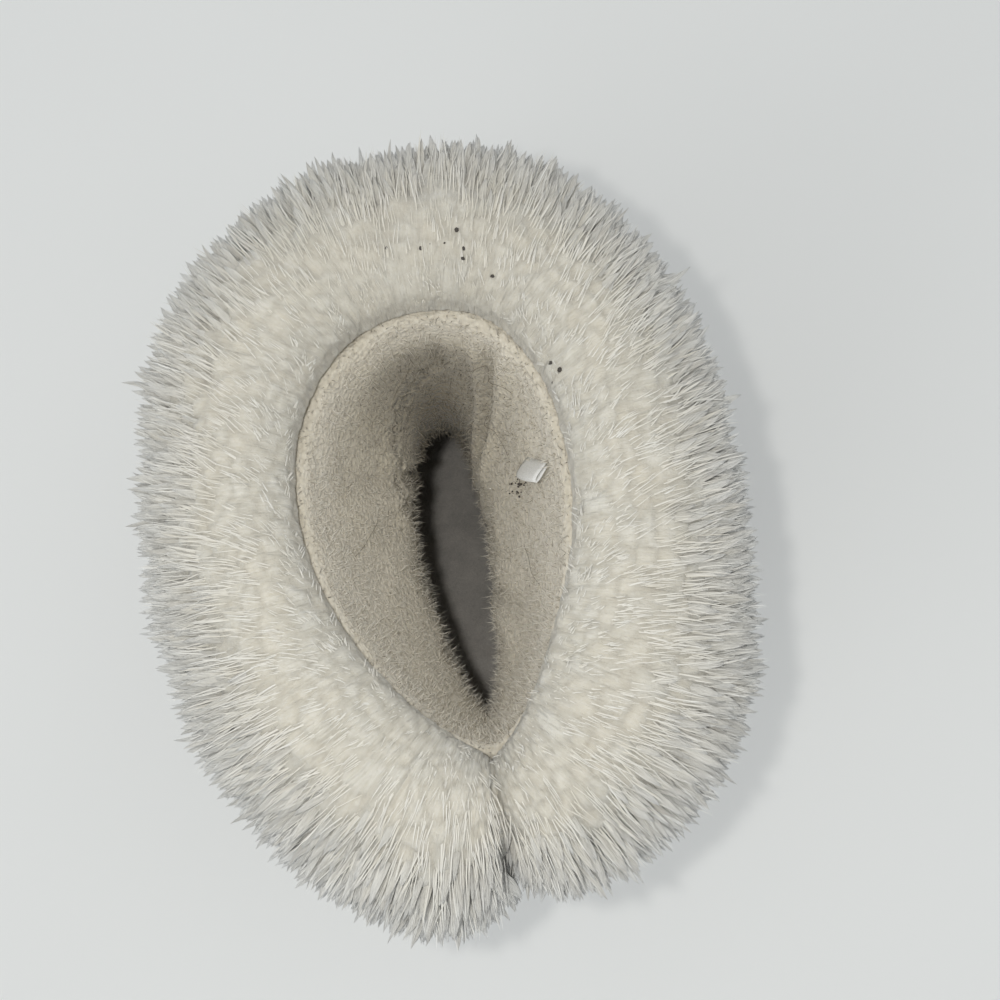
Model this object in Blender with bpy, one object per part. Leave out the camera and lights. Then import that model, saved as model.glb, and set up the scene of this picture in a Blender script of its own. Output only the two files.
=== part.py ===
import math

import bpy
import numpy as np

# A left winter boot standing on its sole, in metres. The toe points along -Y, the heel along +Y,
# up is +Z, and the inner side of the foot is -X. The origin is on the heel's flat tread, at the floor.
# A station runs along the sole, 0 at the heel's back and 1 at the toe's tip.
# A turn runs round the boot, 0 at the front, 1 at the back, positive on the outer side.
# A level runs up the upper, 0 at the feather edge and one more for each row of UPPER_SECTIONS.

OUTSOLE_LENGTH = 0.280
BALL_WIDTH = 0.104
HEEL_OVERHANG = 0.046
HEEL_STACK = 0.030
COLLAR_HEIGHT = 0.252
COLLAR_WIDTH = 0.100

GAP = 0.0003
WALL = 0.0024
TOE_SPRING = 0.011
ARCH_RISE = 0.011
LUG_DEPTH = 0.0045
LUG_SLANT = 0.0042
LUG_EDGE = 0.05
LUG_SPACE = 0.13
LUG_DRAFT = 0.04
MIDSOLE_THICKNESS = 0.0055
LIP_THICKNESS = 0.0032
OUTSOLE_LEDGE = 0.0016
SIDE_GROOVE = 0.0011
INSOLE_THICKNESS = 0.0050
INSOLE_BEVEL = 0.0012
COUNTER_THICKNESS = 0.0016
COUNTER_DROP = 0.42
CUFF_SPREAD = 0.046
CUFF_RISE = 0.030
LOCK_LENGTH = 0.022
LOCK_DROOP = 0.55
LOCK_LEAN = 0.35
SHORTEST_LOCK = 0.55
PUFF = 0.07
SPLIT_GAP = 0.0010

LIP_LEVEL = 0.65
COUNTER_CLEARANCE = 0.14
COUNTER_TOP_LEVEL = 5
COUNTER_COLUMNS = 11
CUFF_FOOT_LEVEL = 9.6
RING_LEVELS = (0, 0.35, LIP_LEVEL, 1, 1.5, 2, 2.6, 3.2, 4, 5, 6, 7, 8, 9, CUFF_FOOT_LEVEL, 10.3, 11.1, 12)

SOLE_ROWS = 26
END_ROWS = 3
END_SHARE = 0.055
TOE_ROUND = 0.17
HEEL_ROUND = 0.135

FLAT_HEEL_END = 0.28
FLAT_BALL_START = 0.50
FLAT_BALL_END = 0.80
ARCH_CURVE = 0.55
SPRING_CURVE = 1.8

# How square the round ends, the vamp's crown and the shaft's leaf-shaped section are.
END_CURVE = 2.2
CROWN_TOP_CURVE = 2.5
CROWN_SIDE_CURVE = 2.4
CROWN_SWELL = 0.22
LEAF_TAPER_CURVE = 1.8
LEAF_POINT_CURVE = 0.68
FOOT_TO_SHAFT_CURVE = 6
RIDGE_CURVE = 8
COUNTER_CURVE = 2.5
BED_LEVELS = 6
VAMP_TIP_SHARE = 0.06
LEAN_BOW = 5.6
LEAN_END = 0.8
SAME_REACH = 0.004
LEVEL_STEP = 0.02
TURN_STEP = 0.004


def columns(names, *rows):
    """One array for each named column of a short table."""
    return dict(zip(names.split(), np.array(rows, float).T))


# Reaches are shares of the sole's length from its back, heights shares of the collar's height,
# half_width a share of half the collar's width, and shift a share of the collar's width.
UPPER_SECTIONS = columns(
    "front_reach front_height back_reach back_height half_width shift",
    (0.991, 0.165, 0.006, 0.170, 0.66, 0.00),
    (0.984, 0.218, 0.002, 0.220, 0.66, 0.00),
    (0.948, 0.270, 0.003, 0.270, 0.66, 0.00),
    (0.885, 0.305, 0.008, 0.315, 0.66, 0.00),
    (0.795, 0.335, 0.015, 0.360, 0.66, 0.00),
    (0.715, 0.378, 0.022, 0.408, 0.66, 0.00),
    (0.648, 0.440, 0.028, 0.462, 0.66, 0.00),
    (0.598, 0.524, 0.031, 0.528, 0.68, 0.01),
    (0.570, 0.615, 0.031, 0.605, 0.72, 0.02),
    (0.558, 0.714, 0.026, 0.705, 0.79, 0.03),
    (0.557, 0.825, 0.017, 0.822, 0.87, 0.03),
    (0.566, 1.000, 0.006, 1.000, 1.00, 0.03),
)
FEATHER_FRONT_REACH = 0.978
FEATHER_BACK_REACH = 0.016
FOOT_TOP_SHARE = 0.50
SHAFT_WIDEST = 0.42
FULL_SHAFT_LEVEL = 9.5
VAMP_LEVEL = 5

# Reaches to each side of the straight line through the heel, as shares of the ball's width.
SOLE_OUTLINE = columns(
    "station outer inner",
    (0.00, 0.33, 0.33),
    (0.14, 0.34, 0.34),
    (0.30, 0.34, 0.31),
    (0.42, 0.37, 0.28),
    (0.55, 0.44, 0.34),
    (0.66, 0.48, 0.43),
    (0.76, 0.46, 0.47),
    (0.86, 0.40, 0.47),
    (1.00, 0.27, 0.45),
)

# The foot bed's height, as a share of the heel stack.
FOOT_BED = columns(
    "station height",
    (0.00, 1.00),
    (0.22, 0.99),
    (0.36, 0.85),
    (0.50, 0.70),
    (0.65, 0.63),
    (0.80, 0.64),
    (0.90, 0.73),
    (1.00, 0.92),
)

# The sole's side from the tread up: share of its height, and how far the ledge and the groove count.
SOLE_SIDE = columns(
    "rise ledge groove",
    (0.00, 0.2, 0.0),
    (0.18, 1.0, 0.0),
    (0.52, 1.0, 0.0),
    (0.60, 0.0, 1.0),
    (0.74, 0.0, 1.0),
    (0.80, 0.6, 0.0),
    (1.00, 0.6, 0.0),
)

# The cuff's outline round the boot: turn over half a round, how far it spreads and how high it lies.
CUFF_OUTLINE = columns(
    "turn spread rise",
    (-1.00, 0.62, 0.80),
    (-0.90, 0.92, 0.85),
    (-0.72, 1.18, 0.95),
    (-0.45, 1.02, 1.00),
    (-0.20, 1.10, 1.00),
    (0.00, 1.14, 1.00),
    (0.20, 1.10, 0.98),
    (0.45, 0.94, 1.00),
    (0.70, 1.12, 1.10),
    (0.90, 1.08, 1.15),
    (1.00, 0.76, 1.00),
)

# The cuff's section: out from the shaft and up from the collar, over the spread and the rise.
CUFF_SECTION = columns(
    "out up",
    (-0.05, 0.25),
    (-0.09, 0.60),
    (0.04, 0.90),
    (0.22, 1.00),
    (0.44, 0.95),
    (0.66, 0.72),
    (0.85, 0.32),
    (0.97, -0.20),
    (1.00, -0.75),
    (0.95, -1.30),
    (0.84, -1.85),
    (0.66, -2.35),
    (0.44, -2.70),
    (0.20, -2.80),
)


def flow(xs, ys, x):
    """A smooth line through the rows that never swings past them."""
    xs = np.asarray(xs, float)
    step = np.diff(xs)
    rise = np.diff(ys) / step
    slope = np.zeros(len(xs))
    product = rise[:-1] * rise[1:]
    mean = 2 * product / np.where(product > 0, rise[:-1] + rise[1:], 1)
    slope[1:-1] = np.where(product > 0, mean, 0)
    slope[0], slope[-1] = rise[0], rise[-1]
    x = np.clip(x, xs[0], xs[-1])
    k = np.clip(np.searchsorted(xs, x, side="right") - 1, 0, len(step) - 1)
    f = (x - xs[k]) / step[k]
    start = ys[k] * (1 + 2 * f) * (1 - f) ** 2 + slope[k] * step[k] * f * (1 - f) ** 2
    end = ys[k + 1] * (3 - 2 * f) * f**2 - slope[k + 1] * step[k] * f**2 * (1 - f)
    return start + end


def rounded(share):
    """Rises from 0 as a round end does and stays at 1 past a share of 1."""
    return (1 - (1 - np.clip(share, 0, 1)) ** END_CURVE) ** (1 / END_CURVE)


def bed_height(station):
    return HEEL_STACK * flow(FOOT_BED["station"], FOOT_BED["height"], station)


def bed_height_below(distance):
    return lambda station: bed_height(station) - distance


def ground_height(station):
    """The tread's own height: flat under heel and ball, raised at the arch and sprung at the toe."""
    arch = np.clip((station - FLAT_HEEL_END) / (FLAT_BALL_START - FLAT_HEEL_END), 0, 1)
    toe = np.clip((station - FLAT_BALL_END) / (1 - FLAT_BALL_END), 0, 1)
    return ARCH_RISE * np.sin(math.pi * arch**ARCH_CURVE) + TOE_SPRING * toe**SPRING_CURVE


def section_column(name, level):
    """A column of the upper's table at any level, with the feather edge as level 0."""
    feather = {
        "front_reach": FEATHER_FRONT_REACH,
        "back_reach": FEATHER_BACK_REACH,
        "front_height": (bed_height(FEATHER_FRONT_REACH) + GAP) / COLLAR_HEIGHT,
        "back_height": (bed_height(FEATHER_BACK_REACH) + GAP) / COLLAR_HEIGHT,
    }
    first = feather.get(name, UPPER_SECTIONS[name][0])
    values = np.append(first, UPPER_SECTIONS[name])
    return flow(np.arange(len(values)), values, level)


def foot_top(station):
    """The height of the vamp's ridge, held down under the shaft."""
    reach = UPPER_SECTIONS["front_reach"][1:][::-1]
    height = UPPER_SECTIONS["front_height"][1:][::-1]
    keep = np.append(np.diff(reach) > SAME_REACH, True)
    ridge = flow(reach[keep], height[keep], station)
    power = float(RIDGE_CURVE)
    return COLLAR_HEIGHT * (ridge**-power + FOOT_TOP_SHARE**-power) ** (-1 / power)


def upper_outer(level, turn):
    """Points on the outside of the upper."""
    level, turn = np.broadcast_arrays(np.asarray(level, float), np.asarray(turn, float))
    side = np.where(np.sin(math.pi * turn) < 0, -1.0, 1.0)
    along = (1 - np.cos(math.pi * turn)) / 2
    front = section_column("front_reach", level)
    back = section_column("back_reach", level)
    station = front + (back - front) * along
    front_z = COLLAR_HEIGHT * section_column("front_height", level)
    back_z = COLLAR_HEIGHT * section_column("back_height", level)
    bed_line = bed_height(front) + (bed_height(back) - bed_height(front)) * along
    sag = np.clip(1 - level / BED_LEVELS, 0, 1) * (bed_height(station) - bed_line)
    z = front_z + (back_z - front_z) * along + sag

    outer = flow(SOLE_OUTLINE["station"], SOLE_OUTLINE["outer"], station)
    inner = flow(SOLE_OUTLINE["station"], SOLE_OUTLINE["inner"], station)
    share = np.clip((z - bed_height(station)) / (foot_top(station) - bed_height(station)), 0, 1)
    crown = (1 - share**CROWN_TOP_CURVE) ** (1 / CROWN_SIDE_CURVE)
    crown = crown * (1 + CROWN_SWELL * share * (1 - share))
    toe_share = np.clip(1 - level / VAMP_LEVEL, VAMP_TIP_SHARE, 1)
    toe = rounded((front - station) / (TOE_ROUND * toe_share))
    heel = rounded((station - back) / HEEL_ROUND)
    foot = BALL_WIDTH * (outer + inner) / 2 * crown * toe * heel

    near = rounded(along / SHAFT_WIDEST)
    far = 1 - np.clip((along - SHAFT_WIDEST) / (1 - SHAFT_WIDEST), 0, 1) ** LEAF_TAPER_CURVE
    leaf = np.where(along < SHAFT_WIDEST, near, far**LEAF_POINT_CURVE)
    shaft = COLLAR_WIDTH / 2 * section_column("half_width", level) * leaf
    half = (foot**FOOT_TO_SHAFT_CURVE + shaft**FOOT_TO_SHAFT_CURVE) ** (1 / FOOT_TO_SHAFT_CURVE)

    rise = np.clip((level - VAMP_LEVEL) / (FULL_SHAFT_LEVEL - VAMP_LEVEL), 0, 1)
    lean = section_column("shift", level) * (LEAN_BOW * along * (1 - along) - LEAN_END)
    centre = BALL_WIDTH * (outer - inner) / 2 * (1 - rise) + COLLAR_WIDTH * lean * rise
    return np.stack([centre + side * half, HEEL_OVERHANG - OUTSOLE_LENGTH * station, z], axis=-1)


def unit(vectors):
    return vectors / np.linalg.norm(vectors, axis=-1, keepdims=True)


def upper_normal(level, turn):
    """The outward direction of the upper, flat across its two rims."""
    level, turn = np.broadcast_arrays(np.asarray(level, float), np.asarray(turn, float))
    top = len(UPPER_SECTIONS["shift"])
    above, below = np.minimum(level + LEVEL_STEP, top), np.maximum(level - LEVEL_STEP, 0)
    up = upper_outer(above, turn) - upper_outer(below, turn)
    round_ = upper_outer(level, turn + TURN_STEP) - upper_outer(level, turn - TURN_STEP)
    rim = ((level == 0) | (level == top))[..., None]
    up = np.where(rim, (0.0, 0.0, 1.0), up)
    round_ = np.where(rim, round_ * (1, 1, 0), round_)
    return unit(np.cross(up, round_)) * -1


def plan_normal(ring):
    """The outward direction of a closed ring, seen from above."""
    along = np.roll(ring, -1, axis=0) - np.roll(ring, 1, axis=0)
    return unit(np.stack([along[:, 1], -along[:, 0], along[:, 2] * 0], axis=1))


def shared_turns():
    """The turns that every piece of the boot uses, so that their facets match."""
    ends = END_SHARE * (1 - np.cos(np.arange(END_ROWS) * math.pi / 2 / END_ROWS))
    middle = np.linspace(END_SHARE, 1 - END_SHARE, SOLE_ROWS + 1)
    shares = np.concatenate([ends, middle, 1 - ends[::-1]])
    outer = np.arccos(1 - 2 * shares) / math.pi
    return np.concatenate([outer, 2 - outer[-2:0:-1]])


TURNS = shared_turns()
COUNT = len(TURNS)
HALF = COUNT // 2


def stations_of(ring):
    return (HEEL_OVERHANG - ring[:, 1]) / OUTSOLE_LENGTH


def sole_ring(outset, height):
    """The feather edge's outline set out by a distance, at a height worked out from its stations."""
    feather = upper_outer(0, TURNS)
    ring = feather + plan_normal(feather) * outset
    ring[:, 2] = height(np.clip(stations_of(feather), 0, 1))
    return ring


def add_piece(name, points, faces, colour, roughness, smooth_angle=40):
    mesh = bpy.data.meshes.new(name)
    mesh.from_pydata(np.asarray(points).tolist(), [], [list(map(int, face)) for face in faces])
    mesh.update()
    mesh.shade_smooth()
    mesh.set_sharp_from_angle(angle=math.radians(smooth_angle))
    piece = bpy.data.objects.new(name, mesh)
    bpy.context.scene.collection.objects.link(piece)
    material = bpy.data.materials.new(name)
    material.use_nodes = True
    shader = material.node_tree.nodes["Principled BSDF"]
    shader.inputs["Base Color"].default_value = (*colour, 1)
    shader.inputs["Roughness"].default_value = roughness
    mesh.materials.append(material)
    return piece


def band_faces(rings, count, first=0, wrap=False):
    """Four-sided faces between rings that follow each other, facing away from the axis."""
    faces = []
    for k in range(rings if wrap else rings - 1):
        low = first + k * count
        high = first + (k + 1) % rings * count
        for i in range(count):
            j = (i + 1) % count
            faces.append((low + i, low + j, high + j, high + i))
    return faces


def ladder_faces(first, up):
    """A cap of cross strips over a ring, from the outer side to the inner one."""
    faces = [(first, first + 1, first + COUNT - 1)]
    for i in range(1, HALF - 1):
        faces.append((first + i, first + i + 1, first + COUNT - i - 1, first + COUNT - i))
    faces.append((first + HALF - 1, first + HALF, first + HALF + 1))
    return faces if up else [face[::-1] for face in faces]


def build_upper():
    levels = np.array(RING_LEVELS)[:, None]
    outside = upper_outer(levels, TURNS)
    inside = outside - upper_normal(levels, TURNS) * WALL
    rings = np.concatenate([outside, inside[::-1]])
    faces = band_faces(len(rings), COUNT, wrap=True)
    add_piece("upper", rings.reshape(-1, 3), faces, (0.27, 0.23, 0.19), 0.85)


def build_midsole():
    """A cup whose lip stands round the foot of the upper."""
    low = bed_height_below(MIDSOLE_THICKNESS)
    lip_levels = [level for level in RING_LEVELS if level <= LIP_LEVEL]
    inner = [upper_outer(level, TURNS) + upper_normal(level, TURNS) * GAP for level in lip_levels]
    inner[0][:, 2] -= GAP
    lip = inner[-1]
    outward = plan_normal(lip)
    outset = GAP + LIP_THICKNESS
    edge = lip + outward * LIP_THICKNESS - (0, 0, LIP_THICKNESS / 3)
    crown = lip + outward * LIP_THICKNESS * 0.6
    crown[:, 2] += LIP_THICKNESS / 5
    foot = sole_ring(outset, low)
    waist = foot + (edge - foot) * 0.5
    rings = [foot, waist, edge, crown] + inner[::-1]
    points = np.concatenate(rings)
    faces = ladder_faces(0, False) + band_faces(len(rings), COUNT)
    faces += ladder_faces((len(rings) - 1) * COUNT, True)
    add_piece("midsole", points, faces, (0.06, 0.055, 0.05), 0.6)


def build_insole():
    levels = np.zeros((1, 1))
    inside = (upper_outer(levels, TURNS) - upper_normal(levels, TURNS) * (WALL + GAP))[0]
    inside[:, 2] = bed_height(np.clip(stations_of(inside), 0, 1)) + GAP
    shoulder = inside + (0, 0, INSOLE_THICKNESS - INSOLE_BEVEL)
    top = inside - plan_normal(inside) * INSOLE_BEVEL + (0, 0, INSOLE_THICKNESS)
    points = np.concatenate([inside, shoulder, top])
    faces = ladder_faces(0, False) + band_faces(3, COUNT) + ladder_faces(2 * COUNT, True)
    add_piece("insole", points, faces, (0.075, 0.07, 0.065), 0.95)


def build_heel_counter():
    """A stiff patch wrapped round the heel, cut between two offsets of the upper."""
    turns = TURNS[HALF - COUNTER_COLUMNS:HALF + COUNTER_COLUMNS + 1]
    drop = np.abs(np.linspace(-1, 1, len(turns))) ** COUNTER_CURVE
    foot = LIP_LEVEL + COUNTER_CLEARANCE
    heights = [foot] + [level for level in RING_LEVELS if foot < level <= COUNTER_TOP_LEVEL]
    rise = np.array(heights)[:, None] - foot
    rows = len(rise)
    levels = foot + rise * (1 - COUNTER_DROP * drop)
    normal = upper_normal(levels, turns)
    skin = upper_outer(levels, turns)
    inside = skin + normal * GAP
    outside = skin + normal * (GAP + COUNTER_THICKNESS)
    width = len(turns)
    points = np.concatenate([outside.reshape(-1, 3), inside.reshape(-1, 3)])
    back = rows * width
    faces = []
    for k in range(rows - 1):
        for i in range(width - 1):
            a, b = k * width + i, (k + 1) * width + i
            faces.append((a, a + 1, b + 1, b))
            faces.append((back + a, back + b, back + b + 1, back + a + 1))
    for i in range(width - 1):
        top = (rows - 1) * width + i
        faces.append((i, back + i, back + i + 1, i + 1))
        faces.append((top, top + 1, back + top + 1, back + top))
    for k in range(rows - 1):
        a, b = k * width, (k + 1) * width
        c, d = a + width - 1, b + width - 1
        faces.append((a, b, back + b, back + a))
        faces.append((c, back + c, back + d, d))
    add_piece("heel_counter", points, faces, (0.21, 0.175, 0.14), 0.8)


def points_array(points, indices):
    return np.array([points[i] for i in indices])


def lug_faces(points, faces, cell):
    """A block standing down from one cell of the tread, narrower at its foot."""
    corners = points_array(points, cell)
    ring = []
    for lower in (False, True):
        edge = LUG_EDGE + LUG_DRAFT / 2 * lower
        space = LUG_SPACE + LUG_DRAFT * lower
        for u, v in ((edge, space), (1 - edge, space), (1 - edge, 1 - space), (edge, 1 - space)):
            weights = np.array(((1 - u) * (1 - v), u * (1 - v), u * v, (1 - u) * v))
            spot = weights @ corners
            if lower:
                spot[2] = ground_height(np.clip((HEEL_OVERHANG - spot[1]) / OUTSOLE_LENGTH, 0, 1))
            ring.append(len(points))
            points.append(spot)
    base, foot = ring[:4], ring[4:]
    for i in range(4):
        j = (i + 1) % 4
        faces.append((cell[i], cell[j], base[j], base[i]))
        faces.append((base[i], base[j], foot[j], foot[i]))
    faces.append(tuple(foot))


def tread_height(station):
    return ground_height(station) + LUG_DEPTH


def outsole_rings():
    """The sole's side, with a ledge low down and a groove above it, from the tread to the midsole."""
    top_height = bed_height_below(MIDSOLE_THICKNESS + GAP)

    def side_height(share):
        return lambda station: tread_height(station) * (1 - share) + top_height(station) * share

    rings = []
    for share, ledge, groove in zip(SOLE_SIDE["rise"], SOLE_SIDE["ledge"], SOLE_SIDE["groove"]):
        reach = GAP + LIP_THICKNESS + OUTSOLE_LEDGE * ledge - SIDE_GROOVE * groove
        rings.append(sole_ring(reach, side_height(share)))
    return rings


def tread_grid(points):
    """Rows of four points across the tread: its two edges and two between them, set forward in a chevron."""
    grid = []
    for i in range(1, HALF):
        left, right = points[i], points[COUNT - i]
        row = [i]
        for share in (1 / 3, 2 / 3):
            spot = left + (right - left) * share
            spot[1] -= LUG_SLANT * min(1.0, np.linalg.norm(right - left) / BALL_WIDTH)
            spot[2] = tread_height(np.clip((HEEL_OVERHANG - spot[1]) / OUTSOLE_LENGTH, 0, 1))
            row.append(len(points))
            points.append(spot)
        grid.append([*row, COUNT - i])
    return grid


def build_outsole():
    rings = outsole_rings()
    points = [spot for ring in rings for spot in ring]
    faces = band_faces(len(rings), COUNT) + ladder_faces((len(rings) - 1) * COUNT, True)
    grid = tread_grid(points)
    faces += [(0, b, a) for a, b in zip(grid[0], grid[0][1:])]
    faces += [(HALF, a, b) for a, b in zip(grid[-1], grid[-1][1:])]
    for row, following in zip(grid, grid[1:]):
        for column in range(3):
            cell = (row[column], row[column + 1], following[column + 1], following[column])
            corners = points_array(points, cell)
            station = (HEEL_OVERHANG - corners[:, 1].mean()) / OUTSOLE_LENGTH
            shank = FLAT_HEEL_END < station < FLAT_BALL_START
            short = abs(corners[0][1] - corners[3][1]) < OUTSOLE_LENGTH / SOLE_ROWS / 2
            if shank or short:
                faces.append(cell)
            else:
                lug_faces(points, faces, cell)
    add_piece("outsole", np.array(points), faces, (0.035, 0.033, 0.03), 0.7, 30)


def scatter(a, b):
    """A fixed, even scatter between 0 and 1 for a pair of counts."""
    return (math.sin(a * 12.9898 + b * 78.233) * 43758.5453) % 1.0


def cuff_rings():
    """Rings from the collar's inner edge over the roll and back up the shaft, and how many are roll."""
    turns = np.append(-1, np.sort(np.where(TURNS > 1, TURNS - 2, TURNS)))
    top = len(UPPER_SECTIONS["shift"])
    levels = np.array([level for level in RING_LEVELS if level >= CUFF_FOOT_LEVEL])[:, None]
    shaft = upper_outer(levels, turns) + upper_normal(levels, turns) * GAP
    collar = upper_outer(top, turns)
    rim_out = shaft[-1] + (0, 0, GAP)
    rim_in = collar - upper_normal(top, turns) * WALL + (0, 0, GAP)
    length = collar[:, 1].max() - collar[:, 1].min()
    across, along = length * np.sin(math.pi * turns), -COLLAR_WIDTH * np.cos(math.pi * turns)
    outward = unit(np.stack([across, along, np.zeros(len(turns))], axis=1))
    spread = CUFF_SPREAD * flow(CUFF_OUTLINE["turn"], CUFF_OUTLINE["spread"], turns)
    rise = CUFF_RISE * flow(CUFF_OUTLINE["turn"], CUFF_OUTLINE["rise"], turns)
    roll = []
    for k, (out, up) in enumerate(zip(CUFF_SECTION["out"], CUFF_SECTION["up"])):
        puff = np.array([1 + PUFF * (scatter(i, k) - 0.5) for i in range(len(turns))])
        ring = collar + outward * (spread * out * puff)[:, None]
        ring[:, 2] += rise * up
        roll.append(ring)
    rings = np.array([rim_in, *roll, *shaft[:-1], rim_out])
    rings[:, 0, 0] -= SPLIT_GAP / 2
    rings[:, -1, 0] += SPLIT_GAP / 2
    return rings, len(roll)


def lock_faces(points, cell, k, i, low):
    """A pointed lock drawn out of one cell, leaning by a fixed scatter and drooping on the low rows."""
    corners = points_array(points, cell)
    normal = unit(np.cross(corners[2] - corners[0], corners[3] - corners[1]))
    side = unit(corners[3] - corners[0])
    lean = LOCK_LEAN * (scatter(k, i) - 0.5)
    way = unit(normal + side * lean - np.array((0, 0, LOCK_DROOP * low)))
    reach = LOCK_LENGTH * (SHORTEST_LOCK + (1 - SHORTEST_LOCK) * scatter(i + 7, k + 3))
    points.append(corners.mean(axis=0) + way * reach)
    apex = len(points) - 1
    return [(a, b, apex) for a, b in zip(cell, cell[1:] + cell[:1])]


def build_cuff():
    """The turned-down fur cuff: a thick roll open at the back, its locks drawn out of its cells."""
    rings, roll = cuff_rings()
    total, count = rings.shape[:2]
    points = [spot for ring in rings for spot in ring]
    faces = []
    for k in range(total):
        for i in range(count - 1):
            low, high = k * count, (k + 1) % total * count
            cell = (low + i, high + i, high + i + 1, low + i + 1)
            furry = 3 <= k <= roll - 1 and (k + i) % 2 == 0
            share = min(1.0, max(0.1, (k - 4) / 3))
            faces += lock_faces(points, cell, k, i, share) if furry else [cell]
    for i, turned in ((0, False), (count - 1, True)):
        loop = [k * count + i for k in range(total)]
        points.append(points_array(points, loop[:8]).mean(axis=0))
        hub = len(points) - 1
        for a, b in zip(loop, loop[1:] + loop[:1]):
            faces.append((a, b, hub) if turned else (b, a, hub))
    add_piece("cuff", np.array(points), faces, (0.60, 0.59, 0.55), 0.9, 180)


def clear_scene():
    for thing in list(bpy.data.objects):
        bpy.data.objects.remove(thing)


clear_scene()
build_outsole()
build_midsole()
build_insole()
build_upper()
build_heel_counter()
build_cuff()
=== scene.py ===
import itertools
import math

import bpy
import numpy as np
from mathutils import Matrix, Vector


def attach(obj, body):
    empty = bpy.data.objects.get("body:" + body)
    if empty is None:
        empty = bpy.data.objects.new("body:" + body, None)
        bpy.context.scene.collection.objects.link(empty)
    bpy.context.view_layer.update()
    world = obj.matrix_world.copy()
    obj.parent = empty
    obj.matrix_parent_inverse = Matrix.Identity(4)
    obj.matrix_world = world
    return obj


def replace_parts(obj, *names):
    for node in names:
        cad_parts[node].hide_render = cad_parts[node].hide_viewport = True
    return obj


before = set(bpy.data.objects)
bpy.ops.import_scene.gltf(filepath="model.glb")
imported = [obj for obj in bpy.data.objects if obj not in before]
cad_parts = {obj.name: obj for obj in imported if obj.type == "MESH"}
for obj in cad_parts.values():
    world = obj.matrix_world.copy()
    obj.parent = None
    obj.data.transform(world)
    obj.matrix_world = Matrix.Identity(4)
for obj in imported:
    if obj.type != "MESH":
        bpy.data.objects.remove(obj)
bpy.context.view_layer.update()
print("frame loaded")

# sizes of the boot, in metres; the toe is at -Y and the inner side of this left boot at -X
shoe = {
    "soleLength": 0.280, "ballWidth": 0.104, "heelOverhang": 0.046, "heelStack": 0.030,
    "collarHeight": 0.252, "collarWidth": 0.100, "wall": 0.0024, "gap": 0.0003,
    "insoleThickness": 0.0050, "cuffSpread": 0.046, "cuffRise": 0.030,
    "footTop": 0.50, "toeRound": 0.17, "heelRound": 0.135, "shaftWidest": 0.42,
    "vampLevel": 5.0, "shaftLevel": 9.5, "topLevel": 12.0,
    "crownPower": 2.5, "crownRoot": 2.4, "crownSwell": 0.22, "ridgePower": -8.0, "unionPower": 6,
    "shaftFall": 1.8, "shaftRound": 0.68, "leanBow": 5.6, "leanBack": 0.8,
}
noiseSize = (37, 41, 43)


def columns(names, *rows):
    # one array for each named column of a short table
    return dict(zip(names.split(), np.array(rows, float).T))


upperSections = columns(
    "frontReach frontHeight backReach backHeight halfWidth shift",
    (0.978, 0.000, 0.016, 0.000, 0.66, 0.00),
    (0.991, 0.165, 0.006, 0.170, 0.66, 0.00),
    (0.984, 0.218, 0.002, 0.220, 0.66, 0.00),
    (0.948, 0.270, 0.003, 0.270, 0.66, 0.00),
    (0.885, 0.305, 0.008, 0.315, 0.66, 0.00),
    (0.795, 0.335, 0.015, 0.360, 0.66, 0.00),
    (0.715, 0.378, 0.022, 0.408, 0.66, 0.00),
    (0.648, 0.440, 0.028, 0.462, 0.66, 0.00),
    (0.598, 0.524, 0.031, 0.528, 0.68, 0.01),
    (0.570, 0.615, 0.031, 0.605, 0.72, 0.02),
    (0.558, 0.714, 0.026, 0.705, 0.79, 0.03),
    (0.557, 0.825, 0.017, 0.822, 0.87, 0.03),
    (0.566, 1.000, 0.006, 1.000, 1.00, 0.03),
)
soleOutline = columns(
    "station outer inner",
    (0.00, 0.33, 0.33), (0.14, 0.34, 0.34), (0.30, 0.34, 0.31), (0.42, 0.37, 0.28), (0.55, 0.44, 0.34),
    (0.66, 0.48, 0.43), (0.76, 0.46, 0.47), (0.86, 0.40, 0.47), (1.00, 0.27, 0.45),
)
footBed = columns(
    "station height",
    (0.00, 1.00), (0.22, 0.99), (0.36, 0.85), (0.50, 0.70), (0.65, 0.63), (0.80, 0.64), (0.90, 0.73),
    (1.00, 0.92),
)
cuffOutline = columns(
    "turn spread rise",
    (-1.00, 0.62, 0.80), (-0.90, 0.92, 0.85), (-0.72, 1.18, 0.95), (-0.45, 1.02, 1.00), (-0.20, 1.10, 1.00),
    (0.00, 1.14, 1.00), (0.20, 1.10, 0.98), (0.45, 0.94, 1.00), (0.70, 1.12, 1.10), (0.90, 1.08, 1.15),
    (1.00, 0.76, 1.00),
)
cuffSection = columns(
    "share out up",
    (0.00, -0.15, 0.30), (0.06, -0.13, 0.60), (0.13, 0.03, 0.90), (0.20, 0.22, 1.00), (0.28, 0.44, 0.95),
    (0.36, 0.66, 0.72), (0.45, 0.85, 0.32), (0.55, 0.97, -0.20), (0.65, 1.00, -0.75), (0.75, 0.95, -1.30),
    (0.84, 0.84, -1.85), (0.92, 0.66, -2.35), (0.97, 0.44, -2.70), (1.00, 0.20, -2.80),
)


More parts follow.
